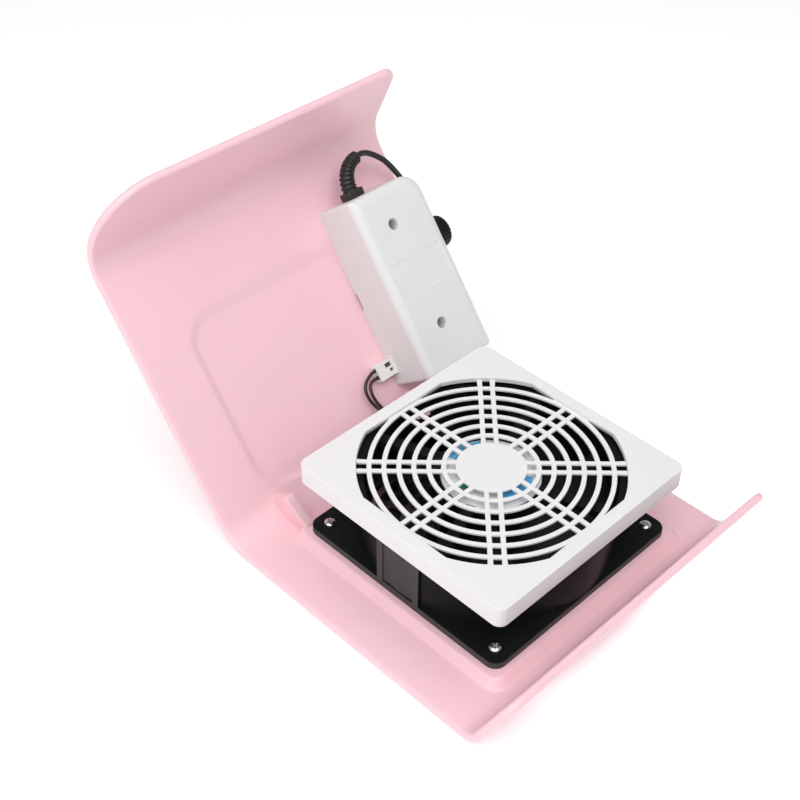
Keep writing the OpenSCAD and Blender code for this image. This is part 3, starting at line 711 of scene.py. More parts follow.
SECTION, SECTION_LEN = section_pieces()
BASE_START = SECTION[2][0]
REAR_START = SECTION[4][0]


def on_section(along):
    """(y, z) of the outer line at a distance along it, and the direction into the shell."""
    start, y, z, heading, r = [s for s in SECTION if s[0] <= along + 1e-9][-1]
    t = along - start
    if r is None:
        return y + t * cos(heading), z + t * sin(heading), -sin(heading), cos(heading)
    turned_by = heading + math.degrees(t / r)
    cy, cz = y - r * sin(heading), z + r * cos(heading)
    return cy + r * sin(turned_by), cz - r * cos(turned_by), -sin(turned_by), cos(turned_by)


# The sheet's corner radii: front left, front right, rear left, rear right
CORNERS = ((12.0, 6.0), (30.0, 8.0))


def side_limit(along, side, inset):
    """How far across the sheet reaches at a distance along it, on one side, with its edge moved in."""
    to_tip, radii = (along, CORNERS[0]) if along < SECTION_LEN / 2 else (SECTION_LEN - along, CORNERS[1])
    r = radii[side]
    edge = SHELL_X[side] + (inset, -inset)[side]
    if to_tip >= r:
        return edge
    across = math.sqrt(max(0.0, (r - inset) ** 2 - (r - to_tip) ** 2))
    return SHELL_X[side] + (r - across, across - r)[side]


PAD_X, PAD_Y, PAD_CORNER = 62.0, (12.0, 108.0), 18.0


def pad_share(x, along):
    """0 off the rear panel's pad, 1 on it; its upper edge is a long soft slope and its sides are short."""
    s = along - REAR_START + BEND_TAN
    mid, half = (PAD_Y[0] + PAD_Y[1]) / 2, (PAD_Y[1] - PAD_Y[0]) / 2
    dx, dy = abs(x) - (PAD_X - PAD_CORNER), abs(s - mid) - (half - PAD_CORNER)
    outside = Vector((max(dx, 0), max(dy, 0)))
    depth = PAD_CORNER - outside.length - min(max(dx, dy), 0)
    up = max(0.0, outside.y / outside.length) if outside.length > 0 else (1.0 if dy > dx else 0.0)
    slope = mix(2.4, 9.0, up ** 1.5) if s > mid else 3.0
    return smooth_step(depth / slope)


def sheet_point(x, along, depth):
    """Point of the sheet, depth inside its outer face; the pad lowers both faces."""
    y, z, ny, nz = on_section(along)
    depth -= PAD_DEPTH * pad_share(x, along)
    return x, y + depth * ny, z + depth * nz


HOLE_HALF = 69.9
FINE = 1.65


def spaced(ends, step=FINE):
    """Values from the first of ends to the last, through all of them, about a step apart."""
    made = []
    for a, b in zip(ends, ends[1:]):
        count = max(1, round((b - a) / step))
        made += [a + (b - a) * k / count for k in range(count)]
    return made + [ends[-1]]


def sheet_rows():
    """Distances along the section, closer together where a lip's corners turn."""
    middle = [s[0] for s in SECTION[1:]]
    flat_start = FRONT_Y + FRONT_TAN
    up_the_lip = FRONT_R * math.asin((HOLE_HALF + flat_start) / (FRONT_R - WALL))
    hole = [BASE_START - up_the_lip, BASE_START + HOLE_HALF - flat_start]
    tips = []
    for tip, way, radii in ((0, 1, CORNERS[0]), (SECTION_LEN, -1, CORNERS[1])):
        for r in radii:
            steps = 20 if r > 10 else 10
            tips += [tip + way * (RIM + (r - RIM) * (1 - cos(90 * k / steps))) for k in range(steps + 1)]
    stops = sorted(set(round(v, 6) for v in [*middle, *hole, *tips]))
    kept = [stops[0]]
    for v in stops[1:]:
        if v - kept[-1] > 0.05 or v in hole:
            kept.append(v)
    return spaced(kept), hole


ROWS, HOLE_ALONG = sheet_rows()
COLUMNS = spaced([SHELL_X[0] + RIM, -HOLE_HALF, HOLE_HALF, SHELL_X[1] - RIM])
NARROW = 1e-4
HOLE_ROWS = [j for j, v in enumerate(ROWS) if HOLE_ALONG[0] - NARROW <= v <= HOLE_ALONG[1] + NARROW]
HOLE_COLUMNS = [i for i, x in enumerate(COLUMNS) if abs(x) <= HOLE_HALF + NARROW]


def grid_x(j, i):
    """How far across the sheet a place of the grid lies."""
    low, high = side_limit(ROWS[j], 0, RIM), side_limit(ROWS[j], 1, RIM)
    return mix(low, high, (COLUMNS[i] - COLUMNS[0]) / (COLUMNS[-1] - COLUMNS[0]))


def sheet_faces(depth):
    """One face of the sheet without the fan platform's square."""
    faces = []
    count = len(COLUMNS)
    points = [sheet_point(grid_x(j, i), ROWS[j], depth) for j in range(len(ROWS)) for i in range(count)]
    for j in range(len(ROWS) - 1):
        in_rows = HOLE_ROWS[0] <= j < HOLE_ROWS[-1]
        for i in range(count - 1):
            if in_rows and HOLE_COLUMNS[0] <= i < HOLE_COLUMNS[-1]:
                continue
            faces.append((j * count + i, j * count + i + 1, (j + 1) * count + i + 1, (j + 1) * count + i))
    return points, faces


def round_grid(rows, columns):
    """Places (row, column) round a block of the grid, anticlockwise."""
    order = [(rows[0], i) for i in columns[:-1]] + [(j, columns[-1]) for j in rows[:-1]]
    return order + [(rows[-1], i) for i in columns[:0:-1]] + [(j, columns[0]) for j in rows[:0:-1]]


def border():
    """Grid places round the sheet's edge, with the direction out of the sheet there."""
    made = []
    for j, i in round_grid(range(len(ROWS)), range(len(COLUMNS))):
        x, along = grid_x(j, i), ROWS[j]
        front = along < SECTION_LEN / 2
        to_tip = along if front else SECTION_LEN - along
        tip_way = -1 if front else 1
        way = (0.0, tip_way)
        if i in (0, len(COLUMNS) - 1):
            side = 0 if i == 0 else 1
            r = CORNERS[0 if front else 1][side]
            centre = SHELL_X[side] + (r, -r)[side]
            way = ((x - centre) / (r - RIM), tip_way * (r - to_tip) / (r - RIM))
            if to_tip >= r:
                way = ((-1.0, 1.0)[side], 0.0)
        made.append((j, i, x, along, way))
    return made


def rim_faces(inner_base, outer_base):
    """Rounded rim that joins the sheet's two faces, as points and faces numbered from their own start."""
    points, faces = [], []
    places = border()
    steps = 5
    turns = [90 * k / steps for k in range(steps + 1)]
    profile = [(RIM * sin(a), WALL - RIM + RIM * cos(a)) for a in turns[1:]]
    profile += [(RIM * cos(a), RIM - RIM * sin(a)) for a in turns[:-1]]
    count = len(COLUMNS)
    start = [inner_base + j * count + i for j, i, *_ in places]
    end = [outer_base + j * count + i for j, i, *_ in places]
    base = outer_base + len(ROWS) * count
    rings = [start]
    for out, depth in profile:
        ring = []
        for j, i, x, along, way in places:
            ring.append(base + len(points))
            reach = min(SECTION_LEN, max(0.0, along + way[1] * out))
            points.append(sheet_point(x + way[0] * out, reach, depth))
        rings.append(ring)
    rings.append(end)
    for a, b in zip(rings, rings[1:]):
        faces += between(a, b)
    return points, faces


def hole_border(base):
    """Numbers of the points round the platform's square in one face, anticlockwise."""
    return [base + j * len(COLUMNS) + i for j, i in round_grid(HOLE_ROWS, HOLE_COLUMNS)]


def side_points(loop):
    """The loop with its four long straight sides divided."""
    made = []
    for a, b in zip(loop, loop[1:] + loop[:1]):
        parts = 21 if math.dist(a, b) > 20 else 1
        made += [(mix(a[0], b[0], k / parts), mix(a[1], b[1], k / parts)) for k in range(parts)]
    return made


def zipped(a, b, angles_a, angles_b):
    """Triangles between two closed rings of point numbers whose points have rising angles."""
    faces, i, k = [], 0, 0
    while i < len(a) or k < len(b):
        next_a = angles_a[i + 1] if i + 1 < len(a) else angles_a[0] + 360 if i < len(a) else 1e9
        next_b = angles_b[k + 1] if k + 1 < len(b) else angles_b[0] + 360 if k < len(b) else 1e9
        if next_a <= next_b:
            faces.append((a[i % len(a)], a[(i + 1) % len(a)], b[k % len(b)]))
            i += 1
        else:
            faces.append((a[i % len(a)], b[(k + 1) % len(b)], b[k % len(b)]))
            k += 1
    return faces


def angle_of(p):
    return math.degrees(math.atan2(p[1], p[0]))


def platform(points, hole, is_top):
    """From the square in one face of the sheet to the intake: new points, faces and the intake's edge."""
    made, faces, high = [], [], PLATFORM_Z
    if is_top:
        rings = [(67.3, 8.6, WALL), (66.6, 8.1, WALL + 0.13), (66, 7.6, WALL + 0.55), (64.7, 6.6, WALL + 2.1),
                 (63.4, 5.6, high - 0.5), (62.9, 5.2, high - 0.13), (62.2, 4.6, high)]
        inner = [(INTAKE_R + 0.8, high), (INTAKE_R + 0.2, high - 0.2), (INTAKE_R, high - 0.8)]
    else:
        rings = [(66.4, 8.6, 0.0), (65.5, 8, 0.25), (61.2, 5.5, high - 3.8), (60.4, 5, high - 3.5)]
        inner = [(INTAKE_R + 0.6, high - 3.5), (INTAKE_R, high - 2.9)]
    loops = [raised(side_points(rounded_square(half, r, 8)), z) for half, r, z in rings]
    loops += [raised(circle(r, BIG_CIRCLE), z) for r, z in inner]
    chain = [hole]
    for loop in loops:
        chain.append([len(points) + len(made) + k for k in range(len(loop))])
        made += loop
    every = points + made
    aligned = []
    for ring in chain:
        start = min(range(len(ring)), key=lambda k: angle_of(every[ring[k]]))
        aligned.append(ring[start:] + ring[:start])
    for a, b in zip(aligned, aligned[1:]):
        if len(a) == len(b):
            faces += between(a, b)
        else:
            faces += zipped(a, b, [angle_of(every[i]) for i in a], [angle_of(every[i]) for i in b])
    return made, faces, aligned[-1]


def shell_sheet():
    inner, inner_faces = sheet_faces(WALL)
    outer, outer_faces = sheet_faces(0.0)
    points = inner + outer
    faces = inner_faces + [tuple(len(inner) + i for i in face) for face in outer_faces]
    rim_points, rim = rim_faces(0, len(inner))
    points += rim_points
    faces += rim
    top_points, top_faces, top_edge = platform(points, hole_border(0), True)
    points += top_points
    low_points, low_faces, low_edge = platform(points, hole_border(len(inner)), False)
    points += low_points
    return points, faces + top_faces + low_faces + between(top_edge, low_edge)


def cell(radii, start, end, steps=8):
    """Gap between two arcs and two spoke edges; start and end are (spoke angle, offset from its middle)."""
    loop = []
    for r, way in zip(radii, (1, -1)):
        a0, a1 = [angle + math.degrees(math.asin(offset / r)) for angle, offset in (start, end)]
        arc = [a0 + (a1 - a0) * k / steps for k in range(steps + 1)]
        loop += [polar(r, a) for a in arc][::way]
    return loop


def grille_cells():
    gaps = ((13.0, 22.0), (24.4, 31.0), (33.4, 40.0), (42.4, 49.0), (51.4, INTAKE_R - 0.1))
    cells = []
    for spoke in range(SPOKES):
        a = SPOKE_GAP * (spoke + 0.5)
        cells += [cell(gap, (a, 1.3), (a + SPOKE_GAP, -1.3)) for gap in gaps]
    return cells


def shell_ribs():
    """Gussets in the bend, a stub rib, and the screw bosses under the control box and the fan."""
    outline = [(61, 3), (61, 8.6), (73.6, 15.9), (75, 16.6), (76.2, 16.8), (77.4, 16.4), (86, 9.6), (80, 3)]
    parts = [turned(slab(outline, [], x, x + RIB_T, 0.9), ALONG_X) for x in RIB_X]
    parts.append(turned(block((36, 41.6), (13, 19.4), (2, 8), 0.7), TO_REAR))
    box_boss = [(1.5, 13), (1.5, 4), (0.4, 3.6), (0.4, 3.2), (3.5, 3.2), (3.5, 12.6), (3.1, 13)]
    parts += [turned(lathe(box_boss, 32, around=True, at=at), TO_REAR) for at in BOX_SCREWS]
    fan_boss = [(1.5, 7.2), (1.5, 2.5), (1.2, 1.5), (1.2, 1.0), (3.6, 1.0), (4, 1.4), (4, 7.2)]
    return parts + [lathe(fan_boss, 32, around=True, at=at) for at in four(HOLE_AT)]


def make_shell():
    edge = circle(INTAKE_R + 1.4, BIG_CIRCLE)
    grille = slab(edge, grille_cells(), PLATFORM_Z - 3.45, PLATFORM_Z - 1.2, 0.45)
    piece("shell_sheet", [shell_sheet()], ["pink"], ["shell"], sharp_over=60)
    bars = piece("shell_grille", [grille], ["pink", "intake_painted_shade"], [], flats=True)
    # painted shade: every face of the intake bars except the undersides takes the dark pink
    ink(bars, lambda face, at: int(face.normal.z > -0.6))
    piece("shell_ribs", shell_ribs(), ["pink"], [], flats=True)


# ---- fan ----

STRUT_AT = 20.0
NOTCH = ((10.0, 18.0), (34.0, 38.0))


def duct_wall():
    """Duct between the flanges, with a notch that lets the leads in."""
    notch_ends = [90 - math.degrees(math.asin(x / DUCT_R)) for x in NOTCH[0]]
    angles = sorted({round(v, 4) for v in [3 * k for k in range(120)] + notch_ends})
    heights = [11.6, NOTCH[1][0], NOTCH[1][1], 42.4]
    count = len(angles)
    points = []
    for r in (DUCT_R + DUCT_T, DUCT_R + 0.05):
        points += [(*polar(r, a), z) for z in heights for a in angles]
    notch = []
    for i in range(count - 1):
        mid = (angles[i] + angles[i + 1]) / 2
        if sin(mid) > 0 and NOTCH[0][0] < DUCT_R * cos(mid) < NOTCH[0][1]:
            notch.append(i)
    present = {(j, i) for j in range(3) for i in range(count) if not (j == 1 and i in notch)}
    size = count * len(heights)
    faces = []
    for j, i in present:
        n = (i + 1) % count
        a, b, c, d = j * count + i, j * count + n, (j + 1) * count + n, (j + 1) * count + i
        faces += [(a, b, c, d), (size + d, size + c, size + b, size + a)]
        for other, edge in (((j - 1, i), (a, b)), ((j + 1, i), (c, d)), ((j, (i + 1) % count), (b, c)),
                            ((j, (i - 1) % count), (d, a))):
            if other not in present:
                faces.append((edge[1], edge[0], size + edge[0], size + edge[1]))
    return points, faces


def terminal_cover():
    """Block on the frame's -X side, flush with its flanges, with a shallow pocket in its face."""
    low, high = FAN_Z[0] + FLANGE, FAN_Z[1] - FLANGE
    steps = ((COVER_HALF, -0.5, 3), (COVER_HALF, -0.5, 0.15), (COVER_HALF - 0.15, -0.5, 0),
             (9.45, 0.2, 0), (9.3, 0.3, 0.15), (9.3, 0.35, 0.6))
    rings = []
    for half, inset, depth in steps:
        loop = rounded((-half, half), (low + inset, high - inset), (0.3,) * 4, 2)
        rings.append(raised(loop, depth - FAN_HALF))
    return turned(loft(rings), ALONG_X)


def dull_and_painted_light_side(face, at):
    """1 on the sides of the flanges and of the terminal cover, which are duller than the rest and painted a
    lighter grey that stands in for the light they catch.
    """
    on_flange = not FAN_Z[0] + FLANGE < at.z < FAN_Z[1] - FLANGE
    on_edge = on_flange and max(abs(at.x), abs(at.y)) > FAN_HALF - 2.5
    on_cover = at.x < 0.7 - FAN_HALF and abs(at.y) < COVER_HALF
    return int(abs(face.normal.z) < 0.4 and (on_edge or on_cover))


def make_fan_frame():
    screw_holes = [circle(2.2, 28, at) for at in four(HOLE_AT)]
    outline = rounded_square(FAN_HALF, 6, 10)
    parts = [duct_wall(), terminal_cover()]
    for z0 in (FAN_Z[0], FAN_Z[1] - FLANGE):
        parts.append(slab(outline, [circle(DUCT_R, BIG_CIRCLE), *screw_holes], z0, z0 + FLANGE, 0.55))
    top, low = LABEL_Z, LABEL_Z - 2.6
    plate = [(4, top - 0.6), (4.5, top), (23.4, top), (24, top - 0.5), (24, low + 0.4), (23.6, low),
             (5.6, low), (5.6, HUB_Z[0] + 8), (4, HUB_Z[0] + 8)]
    parts.append(lathe(plate, 72, around=True))
    top = FAN_Z[1]
    for k in range(4):
        strut = block((23.2, DUCT_R + 0.9), (-3, 3), (top - 4, top - 0.02), 0.6)
        parts.append(turned(strut, spin(STRUT_AT + 90 * k, "Z")))
    made = piece("fan_frame_body", parts, ["fan_black", "fan_edge"], ["fan_frame"], flats=True)
    ink(made, dull_and_painted_light_side)


def blade(turn):
    """One fan blade: an aerofoil that leans and flattens from hub to tip."""
    rows, steps = 16, 20
    rings = []
    for i in range(rows + 1):
        f = i / rows
        r = mix(HUB_R - 0.6, DUCT_R - 1.3, f)
        ring = []
        order = list(range(steps + 1)) + list(range(steps - 1, 0, -1))
        for n, j in enumerate(order):
            side = 1 if n <= steps else -1
            c = j / steps - 0.5
            a = turn + 14 * f * f + c * (46 - 4 * f)
            thick = 0.35 + 0.9 * math.sqrt(max(0, 1 - 4 * c * c)) * (1 - 0.35 * f)
            if n in (0, steps):
                thick = 0.0
            rise = (24 - 5 * f) * c + 2.2 * (0.25 - c * c)
            ring.append((r * cos(a), r * sin(a), sum(HUB_Z) / 2 + rise + side * thick))
        rings.append(ring)
    return loft(rings)


def make_impeller():
    low, high = HUB_Z
    hub = [(HUB_R - 1.7, high), (HUB_R - 0.4, high), (HUB_R, high - 0.4), (HUB_R, low + 1.6),
           (HUB_R - 0.5, low + 0.5), (HUB_R - 1.6, low), (9, low), (8.5, low + 0.3), (4, low + 0.3),
           (1.6, low + 0.3), (1.6, low + 5), (4.2, low + 5), (4.2, low + 2), (HUB_R - 1.7, low + 2)]
    parts = [lathe(hub, 96, around=True)] + [blade(360 * k / BLADES) for k in range(BLADES)]
    piece("fan_impeller_body", parts, ["blade_black"], ["fan_impeller"], body="rotor",
          sharp_over=30)


LABEL_TOP = LABEL_Z + 0.2


def label_ink(_, at):
    """Which ink a face of the motor label has: 0 paper, 1 blue, 2 green, 3 grey."""
    r, a = math.hypot(at.x, at.y), angle_of(at) % 360
    if at.z <= LABEL_TOP - 0.02:
        return 0
    if r > 22.7 or 19.7 < r < 20.2:
        return 3
    if (55 < a < 105 and r > 17) or (242 < a < 310 and 12.3 < r < 19):
        return 1
    if 158 < a < 176 and 13 < r < 17:
        return 2
    return 0


def make_label():
    profile = [(r, LABEL_TOP) for r in (0.6, 6, 12.3, 13, 17, 19, 19.7, 20.2, 22.7, LABEL_R - 0.05)]
    profile += [(LABEL_R, LABEL_TOP - 0.05), (LABEL_R, LABEL_Z + 0.01), (0.6, LABEL_Z + 0.01)]
    looks = ["paper", "ink_blue", "ink_green", "ink_grey"]
    ink(piece("motor_label", [lathe(profile, 240)], looks, ["fan_label"]), label_ink)


def cross_screw(r, tall, at, z):
    """Pan-head screw with a cross recess pressed into a domed head."""
    lines = [-1, -0.86, -0.62, -0.42, -0.19, -0.15, 0, 0.15, 0.19, 0.42, 0.62, 0.86, 1]
    points = []
    size = len(lines)
    for v in lines:
        for u in lines:
            big = max(abs(u), abs(v))
            flat = math.hypot(u, v)
            x, y = (u * big / flat * r, v * big / flat * r) if flat else (0.0, 0.0)
            height = tall * math.sqrt(max(0.0, 1 - 0.75 * big * big))
            if (abs(u) < 0.16 and abs(v) < 0.6) or (abs(v) < 0.16 and abs(u) < 0.6):
                height = tall * 0.45
            points.append((at[0] + x, at[1] + y, z + height))
    faces = joined_rings(size, size, closed=False)
    edge = [j * size + i for j, i in round_grid(range(size), range(size))]
    base = len(points)
    points += [(points[i][0], points[i][1], z) for i in edge]
    foot = range(base, base + len(edge))
    return points, faces + between(edge, foot) + [tuple(foot)]


def make_fan_screws():
    parts = []
    threads = [(1.45 if k % 2 else 1.2, 3 + 9 * k / 24) for k in range(25)]
    for at in four(HOLE_AT):
        parts += [cross_screw(2.7, 2.1, at, FAN_Z[0] + FLANGE), lathe(threads, 24, at=at)]
    piece("fan_screws_chrome", parts, ["chrome"], ["fan_screws"], sharp_over=45)


# ---- filter guard ----

OPENING_R, OPENING_HALF = 61.4, 56.0
SPOKE_IN, SPOKE_OUT = 1.85, 4.15


def opening_radius(a):
    return min(OPENING_R, OPENING_HALF / max(abs(cos(a)), abs(sin(a))))


def opening_outline(grow=0.0):
    flat_end = math.degrees(math.acos(OPENING_HALF / OPENING_R))
    angles = {round(2.0 * k, 3) for k in range(180)}
    angles |= {round((90 * q + side * flat_end) % 360, 3) for q in range(4) for side in (-1, 1)}
    return [polar(opening_radius(a) + grow, a) for a in sorted(angles)]


def guard_cells():
    centres = [RING_OUTER - k * RING_STEP for k in range(RINGS)][::-1]
    gaps = [(DISC_R, centres[0] - RING_HALF)]
    gaps += [(a + RING_HALF, b - RING_HALF) for a, b in zip(centres, centres[1:])]
    cells = []
    for k in range(SPOKES):
        a = SPOKE_GAP * k
        for gap in gaps:
            cells.append(cell(gap, (a, -SPOKE_IN), (a, SPOKE_IN), 2))
            cells.append(cell(gap, (a, SPOKE_OUT), (a + SPOKE_GAP, -SPOKE_OUT), 14))
    edge, taper = RING_OUTER + RING_HALF, 11.0
    for k in range(4):
        a = 45.0 + 90 * k
        cells.append(cell((edge, OPENING_R), (a, -SPOKE_IN), (a, SPOKE_IN), 2))
        half = math.degrees(math.asin(SPOKE_OUT / edge))
        for side in (-1, 1):
            angles = [a + side * (half + (45 - taper - half) * n / 16) for n in range(17)]
            loop = [polar(edge, v) for v in angles]
            cells.append(loop + [polar(opening_radius(v), v) for v in angles[::-1]])
    return cells


def make_guard():
    edge, lip = 0.6, 1.9
    top, low, under = GUARD_Z[1], GUARD_Z[0], GUARD_Z[1] - GUARD_T
    steps = ((edge, top), (0.29 * edge, top - 0.29 * edge), (0, top - edge), (0, low + 0.4), (0.4, low),
             (lip - 0.4, low), (lip, low + 0.4), (lip, under))
    rings = []
    for inset, z in steps:
        rings.append(raised(rounded_square(GUARD_HALF - inset, max(1.0, GUARD_CORNER - inset), 8), z))
    frame_edge = rounded_square(GUARD_HALF, GUARD_CORNER, 8)
    parts = [slab(frame_edge, [opening_outline()], under, top, 0.45, rings),
             slab(opening_outline(1.0), guard_cells(), under + 0.02, under + GRID_T, 0.25)]
    for x, y in four(FAN_HALF - 4.5):
        parts.append(block((x - 2, x + 2), (y - 2, y + 2), (FAN_Z[1] + 0.05, under + 0.2), 0.3))
    for k in range(4):
        for y in (-40, 40):
            clip = block((FAN_HALF + 0.1, FAN_HALF + 1.1), (y - 2, y + 2), (low + 0.3, under + 0.1), 0.2)
            parts.append(turned(clip, spin(90 * k, "Z")))
    piece("filter_guard_body", parts, ["guard"], ["filter_guard"], body="guard", flats=True)


# ---- control box ----

BOX_WALL = 2.0
LONG_FILLET, END_FILLETS, FILLET_H = 4.8, (1.2, 5.2), 4.4


def box_ring(inset, z):
    """Ring round the box at a height, pulled in more across its width than along its length."""
    x = (BOX_X[0] + inset * LONG_FILLET, BOX_X[1] - inset * LONG_FILLET)
    y = (BOX_Y[0] + inset * END_FILLETS[0], BOX_Y[1] - inset * END_FILLETS[1])
    return raised(rounded(x, y, (2, 2, 10 - inset * 2.5, 2), 8), z)


def box_cover_part():
    """Cover open underneath, with a well and a screw boss at each screw."""
    top, ceiling = BOX_H[1], BOX_H[1] - BOX_WALL
    steps = [90 - 90 * k / 8 for k in range(9)]
    rings = [box_ring(1 - cos(a), top - FILLET_H + FILLET_H * sin(a)) for a in steps]
    rings.append(box_ring(0, BOX_H[0] + 0.3))
    x, y = [(span[0] + BOX_WALL, span[1] - BOX_WALL) for span in (BOX_X, BOX_Y)]
    inner = wound(rounded(x, y, (1, 1, 8, 1), 8), True)
    for loop, z in ((moved_left(inner, -BOX_WALL + 0.3), BOX_H[0]), (inner, BOX_H[0]), (inner, ceiling - 0.8),
                    (moved_left(inner, 0.8), ceiling)):
        rings.append(raised(loop, z))
    well = [(3.3, top), (3.0, top - 0.12), (2.85, top - 0.5), (2.8, top - 1.2), (2.8, 15.4), (1.7, 15.4),
            (1.7, 13.2), (4.4, 13.2), (4.4, ceiling)]
    wells = [[raised(wound(circle(r, 40, at), False), z) for r, z in well] for at in BOX_SCREWS]
    return walled([rings, *wells], [panel_rings(top)])


def panel_rings(top):
    """Shallow label panel across the cover's top, with soft edges."""
    x, y = (BOX_X[0] + 4.9, BOX_X[1] - 4.9), (65.0, 83.4)
    rings = []
    for inset, drop in ((0, 0), (0.12, 0.05), (0.3, 0.22), (0.45, 0.27)):
        loop = rounded((x[0] + inset, x[1] - inset), (y[0] + inset, y[1] - inset), (0.6,) * 4, 4)
        rings.append(raised(wound(loop, False), top - drop))
    return rings


def cut(target, cutters):
    """Takes closed parts out of a piece, so that the change is in its mesh."""
    for points, faces in cutters:
        tool = placed("cutter", solid_mesh("cutter", points, faces))
        step = target.modifiers.new("cut", "BOOLEAN")
        step.operation = "DIFFERENCE"
        step.solver = "EXACT"
        step.object = tool
        bpy.context.view_layer.update()
        shaped = bpy.data.meshes.new_from_object(target.evaluated_get(bpy.context.evaluated_depsgraph_get()))
        target.modifiers.remove(step)
        target.data = shaped
        bpy.data.objects.remove(tool)
    smoothed(target.data, 30)


def make_box_cover():
    made = piece("box_cover_shell", [box_cover_part()], ["box"], ["box_cover"], REAR,
                 sharp_over=30)
    windows = (((67, 76), (0, BOX_H[0] + 1.8)), ((30.1, 40.9), (0, 9.7)))
    cutters = [turned(block((BOX_X[0] - 2, BOX_X[0] + 3), y, z, 0.3), REAR) for y, z in windows]
    knob_hole = turned(lathe([(3.6, 0), (3.6, 8)], 40), ALONG_X)
    cutters.append(turned(knob_hole, REAR @ shift(BOX_X[1] - 5, *KNOB_AT)))
    cut(made, cutters)
    even_flats(made)


def make_knob():
    """Fluted knob with a rounded face and a pointer line."""
    count, r, tall = 192, 8.5, 10.0
    profile = [(0.995, 0.0), (1, 0.25), (1, 1.2), (1, tall - 3), (0.995, tall - 1.3), (0.965, tall - 0.6),
               (0.91, tall - 0.15), (0.84, tall), (0.78, tall), (0.74, tall - 0.25), (0.3, tall - 0.35),
               (0.02, tall - 0.35)]
    rings = [raised(circle(r * 0.76, count), 0.0)]
    for share, z in profile:
        ring = []
        for k in range(count):
            a = 360 * k / count
            groove = max(0.0, cos(a * 24)) ** 3 * 0.055 * min(1.0, max(0.0, (share - 0.86) / 0.08))
            ring.append((r * (share - groove) * cos(a), r * (share - groove) * sin(a), z))
        rings.append(ring)
    grip = loft(rings)
    pointer = block((3.2, 7.2), (-0.45, 0.45), (tall - 0.5, tall - 0.02), 0.2)
    place = REAR @ shift(BOX_X[1] + 0.5, *KNOB_AT) @ Matrix(
        ((0, 0, 1, 0), (0, 1, 0, 0), (-1, 0, 0, 0), (0, 0, 0, 1)))
    piece("speed_knob_cap", [grip, (*pointer, 1)], ["knob", "box"], ["speed_knob"], place,
          body="knob", sharp_over=40)


def relief_line(t):
    """Centre line of the strain relief's boot: a short straight, then an arc towards +X."""
    run, bend, plate = 0.8, 13.0, 4.0
    turn = 85 * max(0.0, t * 1.04 - 0.04)
    y = BOX_Y[1] + plate + run * min(1.0, t / 0.04) + bend * sin(turn)
    return RELIEF_AT[0] + bend * (1 - cos(turn)), y, RELIEF_AT[1]


def make_strain_relief():
    ribs, fine = 10, 12
    steps = ribs * fine
    path, radii = [], []
    for k in range(steps + 1):
        t = k / steps
        path.append(relief_line(t))
        groove = 0.62 * max(0.0, cos(360 * (k / fine) + 180)) ** 0.7
        radii.append(4.1 - 0.8 * t - groove)
    radii[-1] -= 0.3
    on_end = shift(RELIEF_AT[0], BOX_Y[1], RELIEF_AT[1]) @ spin(-90, "X")
    plate = turned(block((-5.1, 5.1), (-4.5, 4.5), (0, 4.0), 0.7, 1.6), on_end)
    neck = turned(lathe([(3.2, -4.5), (4.6, -4.5), (4.6, -2.5), (3.4, -2.5), (3.4, 1)], 32), on_end)
    piece("strain_relief_boot", [swept(path, radii, 32), plate, neck], ["rubber"],
          ["strain_relief"], REAR, sharp_over=50)


# ---- fan leads ----

LEAD_R = 0.85
LEAD_UPPER = (
    (23.95, 100.2, 33.4), (21, 100.1, 33.4), (17.5, 99, 33), (14.2, 97.6, 31.6), (12.2, 95.6, 29),
    (12.2, 92.9, 25.4), (13.6, 90, 21.8), (14.6, 86.5, 20), (14.4, 81, 21), (13.6, 75, 25),
    (13, 68, 31), (12.6, 61, 35.5), (12.6, 57.5, 36),
)
LEAD_LOWER = (
    (23.95, 97.9, 30.4), (21.5, 97.9, 30.6), (18.5, 97.4, 30.8), (16, 96.2, 29.8), (14.9, 93.8, 26.8),
    (15.3, 91.2, 23.2), (16.6, 88, 20), (17, 83.5, 19.5), (16.8, 78, 22), (16.2, 71.5, 27.5),
    (15.6, 64, 33.5), (15.4, 57.5, 35.5),
)


def make_leads():
    for name, route, slot in (("upper", LEAD_UPPER, "lead_dark"), ("lower", LEAD_LOWER, "lead_red")):
        path = curve_through(route, 8)
        tube = swept(path, [LEAD_R] * len(path), 16)
        piece(f"fan_lead_{name}", [tube], [f"lead_{name}"], [f"fan_wire_{name}"], sharp_over=60)


# ---- CAD nodes that keep their own shape ----

KEPT = {
    "rotor_yoke": "zinc", "rotor_magnet": "magnet", "fan_shaft": "steel", "lower_bearing": "steel",
    "upper_bearing": "steel", "preload_spring": "steel", "shaft_clip": "zinc", "stator_core": "laminations",
    "stator_windings": "copper", "motor_board": "board", "box_base": "base", "box_screws": "chrome",
    "control_board": "board", "board_screws": "zinc", "board_capacitor": "sleeve", "board_inductor": "tape",
    "board_rectifier": "black_part", "board_transistor": "black_part", "board_heatsink": "aluminium",
    "board_fuse": "glass", "speed_control": "control", "control_shaft": "nickel", "control_nut": "nickel",
    "fan_socket": "socket", "fan_plug": "connector", "plug_contacts": "brass", "mains_pins": "nickel",
}


def dress_cad_nodes():
    """Procedural materials and slightly rounded edges on the CAD nodes that are shown as they are."""
    for name, look in KEPT.items():
        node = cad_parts[name]
        for material_slot in node.material_slots:
            material_slot.material = LOOKS[look]
        node.modifiers.new("weld", "WELD").merge_threshold = 0.00001
        bevel = node.modifiers.new("soft_edges", "BEVEL")
        bevel.width = 0.00018
        bevel.segments = 2
        bevel.angle_limit = math.radians(40)
        even_flats(node)


# ---- floor and light ----

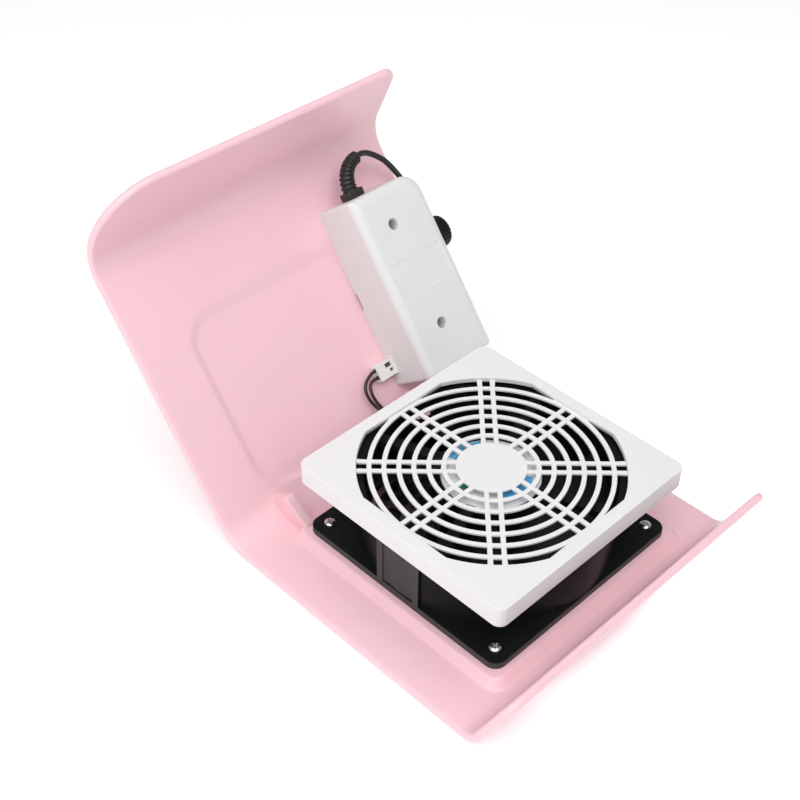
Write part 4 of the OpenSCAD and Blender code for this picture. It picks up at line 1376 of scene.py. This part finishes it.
def area_light(name, at, size, power):
    """Soft white light that points at the object."""
    data = bpy.data.lights.new(name, "AREA")
    data.shape = "RECTANGLE"
    data.size, data.size_y = size
    data.energy = power
    lamp = placed(name, data)
    lamp.location = at
    lamp.rotation_euler = (Vector((0, 0, 0.05)) - Vector(at)).to_track_quat("-Z", "Y").to_euler()


def floor_paper():
    """Pale paper with painted shade under the fan's intake, and a painted glow that lights the floor beside
    the front lip where its shadow falls.
    """
    look = Look("floor_paper", Roughness=0.8, Emission_Color=(1, 1, 1, 1))
    look.to("Roughness", look.spread(look.noise(3), 0.75, 0.85))
    from_fan, from_lip = [
        look.node("ShaderNodeVectorMath", {0: look.place, 1: at}, operation="DISTANCE").outputs["Value"]
        for at in ((fan_axis.x, fan_axis.y, 0), (0.10, -0.11, 0))
    ]
    # painted shadow: near-black floor colour under the fan's intake
    look.to("Base Color", look.ramp(from_fan, [(0.062, (0.06,) * 3), (0.072, (0.95,) * 3)]))
    # painted light: the floor glows, most beside the front lip and not at all under the intake
    clear = look.spread(from_fan, 0.0, 1.0, 0.07, 0.09)
    fill = look.spread(from_lip, 0.6, 0.2, 0.07, 0.17)
    glow = look.node("ShaderNodeMath", {0: clear, 1: fill}, operation="MULTIPLY")
    look.to("Emission Strength", glow.outputs["Value"])
    return look.made


def make_stage():
    half = 4.0
    corners = [(-half, -half, 0), (half, -half, 0), (half, half, 0), (-half, half, 0)]
    mesh = bpy.data.meshes.new("floor")
    mesh.from_pydata(corners, [], [(0, 1, 2, 3)])
    floor = placed("floor", mesh)
    floor.location.z = -0.0002
    mesh.materials.append(floor_paper())
    world = bpy.data.worlds.new("studio")
    bpy.context.scene.world = world
    world.use_nodes = True
    background = world.node_tree.nodes["Background"].inputs
    background["Color"].default_value = (1, 1, 1, 1)
    background["Strength"].default_value = 0.36
    area_light("key", (-1.15, -0.15, 1.05), (1.4, 1.4), 10.7)
    area_light("top", (0.1, -0.1, 1.6), (1.6, 1.6), 8.2)
    area_light("front", (-0.3, -0.75, 1.45), (1.2, 1.0), 8.2)
    bpy.context.scene.view_settings.view_transform = "Standard"


make_shell()
make_fan_frame()
make_impeller()
make_label()
make_fan_screws()
make_guard()
make_box_cover()
make_knob()
make_strain_relief()
make_leads()
dress_cad_nodes()
make_stage()
